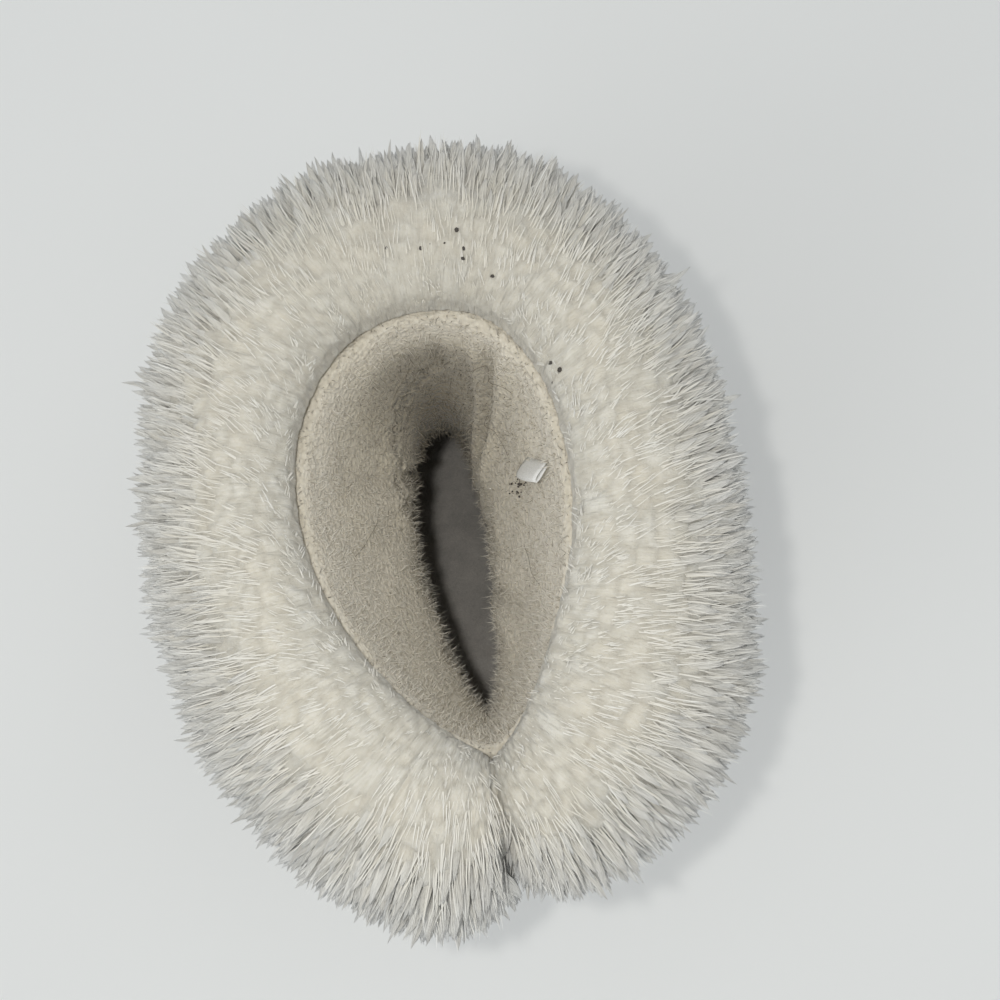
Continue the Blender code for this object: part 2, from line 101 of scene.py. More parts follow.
def flow(xs, ys, x):
    # cubic through the rows; each row's slope is the harmonic mean of its neighbours', so it never overshoots
    xs, ys = np.asarray(xs, float), np.asarray(ys, float)
    step = np.diff(xs)
    rise = np.diff(ys) / step
    product = rise[:-1] * rise[1:]
    slope = np.zeros(len(xs))
    slope[1:-1] = np.where(product > 0, 2 * product / np.where(product > 0, rise[:-1] + rise[1:], 1), 0)
    slope[0], slope[-1] = rise[0], rise[-1]
    x = np.clip(x, xs[0], xs[-1])
    k = np.clip(np.searchsorted(xs, x, side="right") - 1, 0, len(step) - 1)
    f = (x - xs[k]) / step[k]
    start = ys[k] * (1 + 2 * f) * (1 - f) ** 2 + slope[k] * step[k] * f * (1 - f) ** 2
    return start + ys[k + 1] * (3 - 2 * f) * f**2 - slope[k + 1] * step[k] * f**2 * (1 - f)


def straight(xs, ys, x):
    # straight lines from row to row
    return np.interp(x, xs, ys)


def read(table, name, x, curve=flow):
    # a column of a table at x, whose rows stand along the table's first column
    return curve(next(iter(table.values())), table[name], x)


def smooth(low, high, x):
    # 0 below low, 1 above high, with a soft s-curve between
    f = np.clip((x - low) / (high - low), 0, 1)
    return f * f * (3 - 2 * f)


def unit(vectors):
    # v / |v|
    return vectors / np.maximum(np.linalg.norm(vectors, axis=-1, keepdims=True), 1e-12)


def rounded(share, power=2.2):
    # a round end: (1 - (1 - share)^p)^(1/p)
    return (1 - (1 - np.clip(share, 0, 1)) ** power) ** (1 / power)


def softNoise(points, scale, seed):
    # random numbers on a cubic lattice, joined by an s-curve along each axis; -1 to 1
    table = np.random.default_rng(seed).random(noiseSize) * 2 - 1
    place = np.asarray(points) / scale + 1000
    cell = np.floor(place).astype(np.int64)
    f = place - cell
    f = f * f * (3 - 2 * f)
    total = 0.0
    for corner in itertools.product((0, 1), repeat=3):
        weight = np.prod(np.where(corner, f, 1 - f), axis=-1)
        i, j, k = np.moveaxis((cell + corner) % noiseSize, -1, 0)
        total = total + weight * table[i, j, k]
    return total


def bedHeight(station):
    return shoe["heelStack"] * read(footBed, "height", station)


def sectionAt(name, level):
    # a column of the sections at any level; the lowest heights stand on the foot bed
    values = upperSections[name].copy()
    if name.endswith("Height"):
        reach = upperSections[name.replace("Height", "Reach")][0]
        values[0] = (bedHeight(reach) + shoe["gap"]) / shoe["collarHeight"]
    return flow(np.arange(len(values)), values, level)


def footTop(station):
    # the vamp's ridge, held down under the shaft by a soft minimum
    reach, height = upperSections["frontReach"][2:][::-1], upperSections["frontHeight"][2:][::-1]
    keep = np.append(np.diff(reach) > 0.004, True)
    ridge = flow(reach[keep], height[keep], station)
    power = shoe["ridgePower"]
    return shoe["collarHeight"] * (ridge**power + shoe["footTop"] ** power) ** (1 / power)


def upperSkin(level, turn):
    # rings from a front point to a back point, and the half width is a smooth union of a last-shaped foot
    # and a leaf-shaped shaft: (foot^p + shaft^p)^(1/p)
    level, turn = np.broadcast_arrays(np.asarray(level, float), np.asarray(turn, float))
    side = np.where(np.sin(math.pi * turn) < 0, -1.0, 1.0)
    along = (1 - np.cos(math.pi * turn)) / 2
    front, back = sectionAt("frontReach", level), sectionAt("backReach", level)
    station = front + (back - front) * along
    frontZ, backZ = (shoe["collarHeight"] * sectionAt(name, level) for name in ("frontHeight", "backHeight"))
    bedLine = bedHeight(front) + (bedHeight(back) - bedHeight(front)) * along
    sag = np.clip(1 - level / 6, 0, 1) * (bedHeight(station) - bedLine)
    z = frontZ + (backZ - frontZ) * along + sag
    outer, inner = (read(soleOutline, name, station) for name in ("outer", "inner"))
    share = np.clip((z - bedHeight(station)) / (footTop(station) - bedHeight(station)), 0, 1)
    crown = (1 - share ** shoe["crownPower"]) ** (1 / shoe["crownRoot"])
    crown = crown * (1 + shoe["crownSwell"] * share * (1 - share))
    toe = rounded((front - station) / (shoe["toeRound"] * np.clip(1 - level / shoe["vampLevel"], 0.06, 1)))
    heel = rounded((station - back) / shoe["heelRound"])
    foot = shoe["ballWidth"] * (outer + inner) / 2 * crown * toe * heel
    widest = shoe["shaftWidest"]
    far = 1 - np.clip((along - widest) / (1 - widest), 0, 1) ** shoe["shaftFall"]
    leaf = np.where(along < widest, rounded(along / widest), far ** shoe["shaftRound"])
    shaft = shoe["collarWidth"] / 2 * sectionAt("halfWidth", level) * leaf
    power = shoe["unionPower"]
    half = (foot**power + shaft**power) ** (1 / power)
    rise = np.clip((level - shoe["vampLevel"]) / (shoe["shaftLevel"] - shoe["vampLevel"]), 0, 1)
    lean = sectionAt("shift", level) * (shoe["leanBow"] * along * (1 - along) - shoe["leanBack"])
    centre = shoe["ballWidth"] * (outer - inner) / 2 * (1 - rise) + shoe["collarWidth"] * lean * rise
    return np.stack([centre + side * half, shoe["heelOverhang"] - shoe["soleLength"] * station, z], axis=-1)


def upperNormal(level, turn):
    # cross product of the two directions along the skin
    level, turn = np.broadcast_arrays(np.asarray(level, float), np.asarray(turn, float))
    above, below = np.minimum(level + 0.02, shoe["topLevel"]), np.maximum(level - 0.02, 0)
    up = upperSkin(above, turn) - upperSkin(below, turn)
    around = upperSkin(level, turn + 0.004) - upperSkin(level, turn - 0.004)
    return -unit(np.cross(up, around))


def meshPiece(name, points, quads=None, triangles=None, crease=None):
    # arrays straight into a mesh: all quads first, then all triangles
    points = np.ascontiguousarray(points, np.float32).reshape(-1, 3)
    quads = np.zeros((0, 4), np.int32) if quads is None else np.asarray(quads, np.int32)
    triangles = np.zeros((0, 3), np.int32) if triangles is None else np.asarray(triangles, np.int32)
    mesh = bpy.data.meshes.new(name)
    mesh.vertices.add(len(points))
    mesh.vertices.foreach_set("co", points.ravel())
    corners = np.concatenate([quads.ravel(), triangles.ravel()])
    sizes = np.concatenate([np.full(len(quads), 4), np.full(len(triangles), 3)])
    starts = np.concatenate([[0], np.cumsum(sizes)[:-1]])
    mesh.loops.add(len(corners))
    mesh.loops.foreach_set("vertex_index", corners.astype(np.int32))
    mesh.polygons.add(len(sizes))
    mesh.polygons.foreach_set("loop_start", starts.astype(np.int32))
    mesh.update(calc_edges=True)
    mesh.validate()
    mesh.shade_smooth()
    if crease:
        mesh.set_sharp_from_angle(angle=math.radians(crease))
    piece = bpy.data.objects.new(name, mesh)
    bpy.context.scene.collection.objects.link(piece)
    return piece


def gridQuads(rows, cols, wrapRows=False, wrapCols=False, first=0):
    # four corners of every cell of a grid of points, rows by columns
    r = np.arange(rows if wrapRows else rows - 1)[:, None]
    c = np.arange(cols if wrapCols else cols - 1)[None, :]
    r2, c2 = (r + 1) % rows, (c + 1) % cols
    cells = np.stack(np.broadcast_arrays(r * cols + c, r * cols + c2, r2 * cols + c2, r2 * cols + c), axis=-1)
    return cells.reshape(-1, 4) + first


def giveUv(piece, u, v):
    # the piece's own map: one (u, v) for each vertex, handed to its corners
    mesh = piece.data
    index = np.empty(len(mesh.loops), np.int32)
    mesh.loops.foreach_get("vertex_index", index)
    layer = mesh.uv_layers.new(name="OFBake")
    chart = np.stack([np.ravel(u)[index], np.ravel(v)[index]], axis=1)
    layer.data.foreach_set("uv", chart.astype(np.float32).ravel())


def giveValue(piece, name, values):
    # one number for each vertex, which a finish reads by its name
    layer = piece.data.attributes.new(name, "FLOAT", "POINT")
    layer.data.foreach_set("value", np.ravel(values).astype(np.float32))


def wear(piece, material):
    # the piece takes its material and rides on the boot's one body
    piece.data.materials.clear()
    piece.data.materials.append(material)
    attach(piece, "root")
    return piece


def strandMesh(name, paths, radius, tone, taper, along, sides=3, hint=None, flat=1.0, lean=None, blend=0.0):
    # rings of points round each path, drawn in to a point at its last; flat presses them against the
    # hint's side, and blend turns their shading normals towards lean, so packed hairs are lit as one
    count, steps = paths.shape[:2]
    forward = unit(np.gradient(paths, axis=1))
    if hint is None:
        hint = np.where(np.abs(forward[:, 0, 2:]) > 0.9, (1.0, 0.0, 0.0), (0.0, 0.0, 1.0))
    side = unit(np.cross(forward, np.broadcast_to(hint[:, None], forward.shape)))
    other = np.cross(forward, side)
    angle = np.arange(sides) * 2 * math.pi / sides
    wide, thin = np.cos(angle)[:, None] * side[:, :-1, None], np.sin(angle)[:, None]
    thick = (radius[:, None] * taper[None, :-1])[..., None, None]
    rings = paths[:, :-1, None] + thick * (wide + flat * thin * other[:, :-1, None])
    points = np.concatenate([rings.reshape(count, -1, 3), paths[:, -1:]], axis=1)
    each = sides * (steps - 1) + 1
    start = np.arange(count)[:, None, None] * each
    quads = gridQuads(steps - 1, sides, False, True)[:, ::1][None] + start
    last, ring = sides * (steps - 2), np.arange(sides)
    tip = np.stack([last + ring, last + (ring + 1) % sides, ring * 0 + each - 1], axis=1)
    root = np.stack([ring[1:-1] * 0, ring[2:], ring[1:-1]], axis=1)
    ends = np.concatenate([tip, root])[None] + start
    piece = meshPiece(name, points, quads.reshape(-1, 4), ends.reshape(-1, 3))
    # the chart has a column for each shade: a blade folds its round into one, a thin strand takes its middle
    shades = 16
    fold = 0.08 + 0.84 * np.abs(2 * ring / sides - 1) if sides > 3 else np.full(sides, 0.5)
    u = (np.floor(tone * (shades - 0.01))[:, None] + np.append(np.tile(fold, steps - 1), 0.5)) / shades
    v = np.concatenate([np.repeat(along[:-1], sides), along[-1:]])
    giveUv(piece, u, np.tile(v * 0.998 + 0.001, count))
    if lean is not None:
        own = unit(wide + thin / flat * other[:, :-1, None])
        own = np.concatenate([own.reshape(count, -1, 3), forward[:, -1:]], axis=1)
        soft = unit(own * (1 - blend) + lean[:, None] * blend)
        piece.data.normals_split_custom_set_from_vertices(soft.reshape(-1, 3).tolist())
    return piece


class Finish:
    # a Principled material with short ways to add its nodes
    def __init__(self, name, **sockets):
        self.material = bpy.data.materials.new(name)
        self.material.use_nodes = True
        self.tree = self.material.node_tree
        self.shader = self.tree.nodes["Principled BSDF"]
        for socket, value in sockets.items():
            self.shader.inputs[socket.replace("_", " ")].default_value = value

    def node(self, kind, **values):
        made = self.tree.nodes.new(kind)
        for key, value in values.items():
            if hasattr(made, key):
                setattr(made, key, value)
            else:
                made.inputs[key.replace("_", " ")].default_value = value
        return made

    def link(self, source, target):
        self.tree.links.new(source, target)

    def place(self):
        return self.node("ShaderNodeTexCoord").outputs["Object"]

    def noise(self, scale, detail=3.0, roughness=0.5, place=None, distortion=0.0):
        made = self.node("ShaderNodeTexNoise", Scale=scale, Detail=detail, Roughness=roughness,
                         Distortion=distortion)
        self.link(place or self.place(), made.inputs["Vector"])
        return made.outputs["Fac"]

    def ramp(self, source, *stops):
        # stops of (place, colour), where one number is a grey
        made = self.node("ShaderNodeValToRGB")
        while len(made.color_ramp.elements) < len(stops):
            made.color_ramp.elements.new(0.5)
        for element, (position, colour) in zip(made.color_ramp.elements, stops):
            element.position = position
            element.color = (*(colour if isinstance(colour, tuple) else (colour,) * 3), 1)
        self.link(source, made.inputs["Fac"])
        return made.outputs["Color"]

    def mix(self, factor, first, second, blend="MIX"):
        made = self.node("ShaderNodeMix", data_type="RGBA", blend_type=blend)
        for value, socket in ((factor, made.inputs[0]), (first, made.inputs[6]), (second, made.inputs[7])):
            if isinstance(value, (int, float)):
                socket.default_value = value
            elif isinstance(value, tuple):
                socket.default_value = (*value, 1)
            else:
                self.link(value, socket)
        return made.outputs[2]

    def mottle(self, share, base, source, *stops):
        # a share of the source's darks and pales laid over the base
        return self.mix(share, base, self.ramp(source, *stops), "OVERLAY")

    def chart(self, *scale):
        # the piece's own map, stretched where a scale is given
        uv = self.node("ShaderNodeUVMap", uv_map="OFBake").outputs["UV"]
        if not scale:
            return uv
        stretch = self.node("ShaderNodeMapping", vector_type="POINT")
        stretch.inputs["Scale"].default_value = (*scale, 1)
        self.link(uv, stretch.inputs["Vector"])
        return stretch.outputs["Vector"]

    def axes(self, source):
        split = self.node("ShaderNodeSeparateXYZ")
        self.link(source, split.inputs[0])
        return split.outputs

    def soak(self, weight, scale):
        # soft light carried under the surface
        for socket, value in (("Weight", weight), ("Scale", scale), ("Radius", (1.0, 0.96, 0.9))):
            self.shader.inputs["Subsurface " + socket].default_value = value

    def sums(self, operation, first, second):
        made = self.node("ShaderNodeMath", operation=operation)
        for value, socket in ((first, made.inputs[0]), (second, made.inputs[1])):
            if isinstance(value, (int, float)):
                socket.default_value = value
            else:
                self.link(value, socket)
        return made.outputs[0]

    def value(self, name):
        return self.node("ShaderNodeAttribute", attribute_name=name).outputs["Fac"]

    def colour(self, source):
        self.link(source, self.shader.inputs["Base Color"])
        return self

    def rough(self, source, low, high):
        made = self.node("ShaderNodeMapRange", To_Min=low, To_Max=high)
        self.link(source, made.inputs["Value"])
        self.link(made.outputs["Result"], self.shader.inputs["Roughness"])
        return self

    def bump(self, source, strength, distance):
        made = self.node("ShaderNodeBump", Strength=strength, Distance=distance)
        self.link(source, made.inputs["Height"])
        old = self.shader.inputs["Normal"].links
        if old:
            self.link(old[0].from_socket, made.inputs["Normal"])
        self.link(made.outputs["Normal"], self.shader.inputs["Normal"])
        return self


def suedeFinish(name, dark, mid, pale):
    # broad worn patches under a fine napped grain
    finish = Finish(name, Roughness=0.9, Sheen_Weight=0.35, Sheen_Roughness=0.5)
    patches = finish.noise(22, 4, 0.6)
    nap = finish.noise(420, 4, 0.65)
    base = finish.ramp(patches, (0.32, dark), (0.5, mid), (0.7, pale))
    finish.colour(finish.mottle(0.35, base, nap, (0.3, dark), (0.7, pale)))
    finish.rough(nap, 0.82, 0.98)
    finish.bump(nap, 0.35, 0.0004).bump(finish.noise(1500, 2, 0.6), 0.25, 0.00015)
    return finish.material


def rubberFinish(name, dark, pale, dirt):
    # scuffed rubber with road dust in its low patches
    finish = Finish(name, Roughness=0.6, Specular_IOR_Level=0.4)
    grain = finish.noise(900, 2, 0.5)
    scuffs = finish.noise(60, 6, 0.7, distortion=0.6)
    dust = finish.noise(18, 5, 0.65)
    base = finish.ramp(scuffs, (0.4, dark), (0.62, pale))
    finish.colour(finish.mix(finish.ramp(dust, (0.5, 0.0), (0.75, 0.55)), base, dirt))
    finish.rough(scuffs, 0.5, 0.85)
    finish.bump(grain, 0.3, 0.0002).bump(scuffs, 0.2, 0.0004)
    return finish.material


def feltFinish():
    # matted grey fibres, paler towards the heel, with faint creases across the foot
    finish = Finish("insoleFelt", Roughness=0.95, Sheen_Weight=0.3, Sheen_Roughness=0.6)
    alongFoot = finish.node("ShaderNodeMapRange", From_Min=-0.09, From_Max=0.03, To_Min=0.0, To_Max=1.0)
    finish.link(finish.axes(finish.place())["Y"], alongFoot.inputs["Value"])
    fibres = finish.noise(700, 5, 0.7, distortion=1.5)
    mats = finish.noise(70, 4, 0.6)
    base = finish.ramp(alongFoot.outputs["Result"], (0.0, (0.44, 0.42, 0.39)), (1.0, (0.58, 0.555, 0.515)))
    base = finish.mottle(0.5, base, mats, (0.3, 0.35), (0.7, (0.62, 0.61, 0.60)))
    finish.colour(finish.mottle(0.45, base, fibres, (0.3, 0.3), (0.7, (0.7, 0.69, 0.68))))
    finish.bump(fibres, 0.5, 0.0004).bump(mats, 0.4, 0.0012)
    return finish.material


def pileFinish():
    # short sherpa nap: tiny curls over a beige ground, with painted shade that darkens it deep inside and
    # between the curls
    finish = Finish("sherpaPile", Roughness=0.95, Sheen_Weight=0.35, Sheen_Roughness=0.6)
    finish.soak(0.12, 0.004)
    curls = finish.node("ShaderNodeTexVoronoi", Scale=640, feature="SMOOTH_F1", Smoothness=0.6)
    finish.link(finish.place(), curls.inputs["Vector"])
    patches = finish.noise(45, 4, 0.6)
    fluff = finish.noise(900, 3, 0.7)
    # painted shade: the depth value darkens the pile from pale at the top to near black deep in the shaft
    base = finish.ramp(finish.value("depth"), (0.0, (0.86, 0.81, 0.70)), (0.45, (0.74, 0.69, 0.575)),
                       (1.0, (0.22, 0.19, 0.135)))
    base = finish.mottle(0.35, base, patches, (0.3, (0.40, 0.39, 0.37)), (0.7, (0.62, 0.61, 0.60)))
    # painted shade in the hollows between the curls
    hollowShade = finish.ramp(curls.outputs["Distance"], (0.0, 1.0), (0.8, (0.60, 0.57, 0.52)))
    finish.colour(finish.mix(0.55, base, hollowShade, "MULTIPLY"))
    lump = finish.sums("MULTIPLY", curls.outputs["Distance"], -1.0)
    finish.bump(lump, 0.7, 0.0014).bump(fluff, 0.6, 0.0006)
    return finish.material


def furFinish():
    # one chart for every hair and blade: across it their shades and fibres, along it root to tip, darker
    # towards the root as painted shade among the hairs
    finish = Finish("cuffFur", Roughness=0.7, Sheen_Weight=0.15, Sheen_Roughness=0.45)
    shade, along = finish.axes(finish.chart())[:2]
    fibres = finish.noise(1.0, 3, 0.6, place=finish.chart(150, 1.6))
    warm = finish.ramp(along, (0.0, (0.55, 0.51, 0.43)), (0.35, (0.66, 0.625, 0.54)),
                       (0.8, (0.72, 0.69, 0.61)), (1.0, (0.76, 0.74, 0.68)))
    cool = finish.ramp(along, (0.0, (0.69, 0.675, 0.62)), (0.4, (0.785, 0.775, 0.725)),
                       (0.85, (0.825, 0.825, 0.79)), (1.0, (0.82, 0.83, 0.81)))
    base = finish.mix(shade, warm, cool)
    finish.colour(finish.mottle(0.35, base, fibres, (0.32, (0.26, 0.26, 0.25)), (0.68, 0.70)))
    finish.bump(fibres, 0.9, 0.0012)
    return finish.material


def fleeceFinish():
    # the cuff's woolly surface: fine fibres run down the section, with painted shade, darker and warmer, in
    # the crevices and between the strands
    finish = Finish("cuffFleece", Roughness=0.9, Sheen_Weight=0.25, Sheen_Roughness=0.5)
    finish.soak(0.4, 0.003)
    fibres = finish.noise(1.0, 4, 0.65, place=finish.chart(520, 22), distortion=0.6)
    fluff = finish.noise(520, 4, 0.65)
    tone, creviceShade = finish.value("tone"), finish.value("creviceShade")
    base = finish.ramp(tone, (0.0, (0.635, 0.59, 0.495)), (0.45, (0.65, 0.625, 0.555)),
                       (1.0, (0.72, 0.715, 0.67)))
    # painted shade: the crevice value mixes the base towards a dark warm beige
    base = finish.mix(finish.sums("MULTIPLY", creviceShade, 0.40), base, (0.43, 0.40, 0.33))
    strands = finish.node("ShaderNodeTexVoronoi", Scale=1.0, feature="SMOOTH_F1", Smoothness=0.5)
    finish.link(finish.chart(185, 24), strands.inputs["Vector"])
    gaps = finish.ramp(strands.outputs["Distance"], (0.35, 0.0), (0.85, 1.0))
    gaps = finish.sums("MULTIPLY", gaps, tone)
    # painted shade in the gaps between strands, weighted by the tone
    base = finish.mix(finish.sums("MULTIPLY", gaps, 0.4), base, (0.50, 0.49, 0.44))
    base = finish.mottle(0.30, base, fibres, (0.3, (0.36, 0.35, 0.33)), (0.7, (0.62, 0.62, 0.61)))
    finish.colour(finish.mottle(0.25, base, fluff, (0.3, (0.38, 0.37, 0.35)), (0.7, 0.60)))
    finish.bump(fibres, 0.8, 0.0010).bump(fluff, 0.6, 0.0008)
    finish.bump(finish.sums("MULTIPLY", gaps, -1.0), 0.8, 0.0020)
    return finish.material


def napFinish():
    # across the chart how deep in the boot a thread stands, along it root to tip; both darken it as painted
    # shade, deep in the boot and at the root
    finish = Finish("sherpaNap", Roughness=0.8, Sheen_Weight=0.2, Sheen_Roughness=0.5)
    depth, along = finish.axes(finish.chart())[:2]
    # a lit and a shaded copy of the nap, mixed by depth as painted shade
    high = finish.ramp(along, (0.0, (0.70, 0.655, 0.56)), (1.0, (0.87, 0.83, 0.74)))
    low = finish.ramp(along, (0.0, (0.21, 0.18, 0.13)), (1.0, (0.34, 0.295, 0.22)))
    finish.colour(finish.mix(depth, high, low))
    return finish.material


def labelFinish():
    # a plain woven tape
    finish = Finish("labelTape", Roughness=0.7, Sheen_Weight=0.1)
    weave = finish.noise(2200, 2, 0.5)
    finish.colour(finish.ramp(weave, (0.3, (0.68, 0.68, 0.66)), (0.7, (0.86, 0.86, 0.84))))
    finish.bump(weave, 0.3, 0.0001)
    return finish.material


def threadFinish(name, colour):
    # twisted thread, hair or grit in one colour
    finish = Finish(name, Roughness=0.75)
    twist = finish.noise(2500, 1, 0.5)
    finish.colour(finish.ramp(twist, (0.3, tuple(c * 0.6 for c in colour)), (0.7, colour)))
    finish.bump(twist, 0.4, 0.0001)
    return finish.material


suede = suedeFinish("upperSuede", (0.115, 0.085, 0.060), (0.175, 0.135, 0.098), (0.24, 0.19, 0.145))
counterSuede = suedeFinish("counterSuede", (0.080, 0.058, 0.042), (0.125, 0.094, 0.068), (0.18, 0.14, 0.105))
soleRubber = rubberFinish("soleRubber", (0.018, 0.017, 0.016), (0.045, 0.042, 0.038), (0.10, 0.088, 0.07))
lipRubber = rubberFinish("lipRubber", (0.035, 0.031, 0.027), (0.075, 0.068, 0.060), (0.14, 0.12, 0.10))
felt = feltFinish()
sherpa = pileFinish()
fur = furFinish()
tape = labelFinish()
seamThread = threadFinish("seamThread", (0.20, 0.155, 0.11))
# crumbs of dirt on the fur, and below the label dirt and painted shadow
dirtAndShade = threadFinish("dirtAndShadeCrumb", (0.075, 0.065, 0.055))
strayHair = threadFinish("strayHair", (0.24, 0.20, 0.15))
print("finishes made")

# the two soles keep their solids
for node, material in (("outsole", soleRubber), ("midsole", lipRubber)):
    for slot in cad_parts[node].material_slots:
        slot.material = material


# the suede upper: the last's skin with soft folds at instep, ankle and vamp
suedeUpper = {"rows": 84, "cols": 168, "rowPower": 0.92, "seatScale": 0.030, "seatDepth": 0.0007,
              "above": 0.55, "aboveAt": 1.6, "below": 0.35, "belowAt": 1.8, "crease": 50}
# each row is one fold: its level, how that climbs with the turn, where it is, how wide and how deep it is
upperFolds = columns(
    "level climb turn reach width depth",
    (7.6, 2.0, 0.00, 0.34, 0.34, 0.0026),
    (8.5, 1.5, 0.05, 0.40, 0.30, 0.0030),
    (9.2, 1.0, -0.10, 0.36, 0.26, 0.0022),
    (8.2, -1.2, 0.62, 0.20, 0.30, 0.0022),
    (8.9, -0.8, -0.60, 0.22, 0.28, 0.0024),
    (5.6, 1.5, 0.10, 0.16, 0.25, 0.0011),
    (6.4, 1.5, -0.08, 0.20, 0.28, 0.0014),
    (9.6, 0.6, 0.85, 0.20, 0.26, 0.0018),
    (8.4, 0.4, -0.92, 0.16, 0.24, 0.0018),
)


def foldDepth(level, turn):
    # a fold is -depth * g(u) with a ridge beside it, u the level off its slanting line, faded round the turn
    turn = (turn + 1) % 2 - 1
    total = np.zeros(np.broadcast(level, turn).shape)
    for k in range(len(upperFolds["level"])):
        row = {name: column[k] for name, column in upperFolds.items()}
        off = (turn - row["turn"] + 1) % 2 - 1
        u = (level - row["level"] - row["climb"] * np.abs(off)) / row["width"]
        fade = np.exp(-(off / row["reach"]) ** 4)
        above = suedeUpper["above"] * np.exp(-(u - suedeUpper["aboveAt"]) ** 2)
        below = suedeUpper["below"] * np.exp(-(u + suedeUpper["belowAt"]) ** 2)
        total += fade * row["depth"] * (above - np.exp(-u * u) + below)
    return total


def makeUpper():
    # the skin pushed out and in by its folds, joined to the same skin one wall further in
    rows, cols = suedeUpper["rows"], suedeUpper["cols"]
    levels = (np.linspace(0, 1, rows) ** suedeUpper["rowPower"] * shoe["topLevel"])[:, None]
    turns = np.arange(cols) * 2 / cols
    skin, normal = upperSkin(levels, turns), upperNormal(levels, turns)
    keepEdges = smooth(0.8, 2.0, levels) * (1 - smooth(10.5, 11.6, levels))
    folds = foldDepth(levels, turns) * keepEdges
    seat = softNoise(skin, suedeUpper["seatScale"], 11) * suedeUpper["seatDepth"] * keepEdges
    clear = np.where(np.abs((turns + 1) % 2 - 1) > 0.52, smooth(5.2, 6.4, levels), 1.0)
    outside = skin + normal * ((folds + seat) * clear)[..., None]
    inside = skin + normal * ((folds * clear) - shoe["wall"])[..., None]
    inside[0, :, 2], inside[-1, :, 2] = outside[0, :, 2], outside[-1, :, 2]
    points = np.concatenate([outside, inside[::-1]])
    quads = gridQuads(2 * rows, cols, True, True)
    piece = meshPiece("suedeUpper", points, quads, crease=suedeUpper["crease"])
    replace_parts(wear(piece, suede), "upper")


makeUpper()
print("upper made")


# the heel counter: levels of its foot and top, its reach each way from the back, and two rows of stitches
counter = {
    "foot": 0.79, "top": 5.0, "halfTurn": 0.3888, "drop": 0.42, "curve": 2.5, "thickness": 0.0016,
    "across": 110, "up": 40, "edge": 0.35, "edgeWidth": 0.07, "stitch": 0.0022, "step": 0.0033,
    "threadRadius": 0.00028, "threadRise": 0.0003, "rows": ((0.94, 0.17), (0.87, 0.36)),
}


def counterSpot(side, share, height):
    # a place on the counter: side -1 to 1 round the heel, share 0 to 1 from its foot to its curved top
    falling = 1 - counter["drop"] * np.abs(side) ** counter["curve"]
    level = counter["foot"] + share * (counter["top"] - counter["foot"]) * falling
    turn = 1 + side * counter["halfTurn"]
    normal = upperNormal(level, turn)
    return upperSkin(level, turn) + normal * height[..., None], normal


def makeCounter():
    # two offsets of the upper's skin joined round the edge, the outer one sinking softly towards it
    across, up = counter["across"], counter["up"]
    side, share = np.broadcast_arrays(np.linspace(-1, 1, across), np.linspace(0, 1, up)[:, None])
    inward = smooth(0, counter["edgeWidth"], np.minimum(1 - np.abs(side), (1 - share) * 0.8))
    soft = counter["edge"] + (1 - counter["edge"]) * inward
    outside = counterSpot(side, share, shoe["gap"] + counter["thickness"] * soft)[0]
    inside = counterSpot(side, share, np.full(side.shape, shoe["gap"]))[0]
    points = np.concatenate([outside, inside[::-1]])
    row, last = np.arange(up - 1), 2 * up - 1
    left = np.stack([row, row + 1, last - 1 - row, last - row], axis=1) * across
    right = left[:, ::-1] + across - 1
    quads = np.concatenate([gridQuads(2 * up, across, True, False), left, right])
    piece = meshPiece("suedeCounter", points, quads)
    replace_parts(wear(piece, counterSuede), "heel_counter")


def makeStitches():
    # rows of short threads inside the counter's edge: up one side, over the top and down the other
    starts, ends, crowns = [], [], []
    height = shoe["gap"] + counter["thickness"] + 0.00005
    for inset, below in counter["rows"]:
        up = np.linspace(0.04, 1 - below * 0.25, 160)
        over = np.linspace(-inset, inset, 400)
        side = np.concatenate([np.full(len(up), -inset), over, np.full(len(up), inset)])
        share = np.concatenate([up, np.full(len(over), up[-1]), up[::-1]])
        line, normal = counterSpot(side, share, np.full(side.shape, height))
        run = np.append(0, np.cumsum(np.linalg.norm(np.diff(line, axis=0), axis=1)))
        first = np.arange(0.001, run[-1] - counter["step"], counter["step"])
        at = lambda far, what: np.stack([np.interp(far, run, what[:, axis]) for axis in range(3)], axis=1)
        starts.append(at(first, line))
        ends.append(at(first + counter["stitch"], line))
        crowns.append(at(first, normal))
    start, end, crown = (np.concatenate(part)[:, None] for part in (starts, ends, crowns))
    t = np.array([0, 0.12, 0.5, 0.88, 1.0])[None, :, None]
    paths = start + (end - start) * t + crown * counter["threadRise"] * (np.sin(math.pi * t) - 0.6)
    radius = np.full(len(paths), counter["threadRadius"])
    piece = strandMesh("counterStitches", paths, radius, np.full(len(paths), 0.5),
                       np.array([0.6, 1, 1, 0.8, 0]), t[0, :, 0], 5)
    wear(piece, seamThread)


makeCounter()
makeStitches()
print("counter made")


insole = {"half": 90, "across": 24, "bevel": 0.0013, "crown": 0.0009, "crease": 0.00024, "creaseWaves": 520,
          "fluff": 0.0002, "edgeAngle": 60}


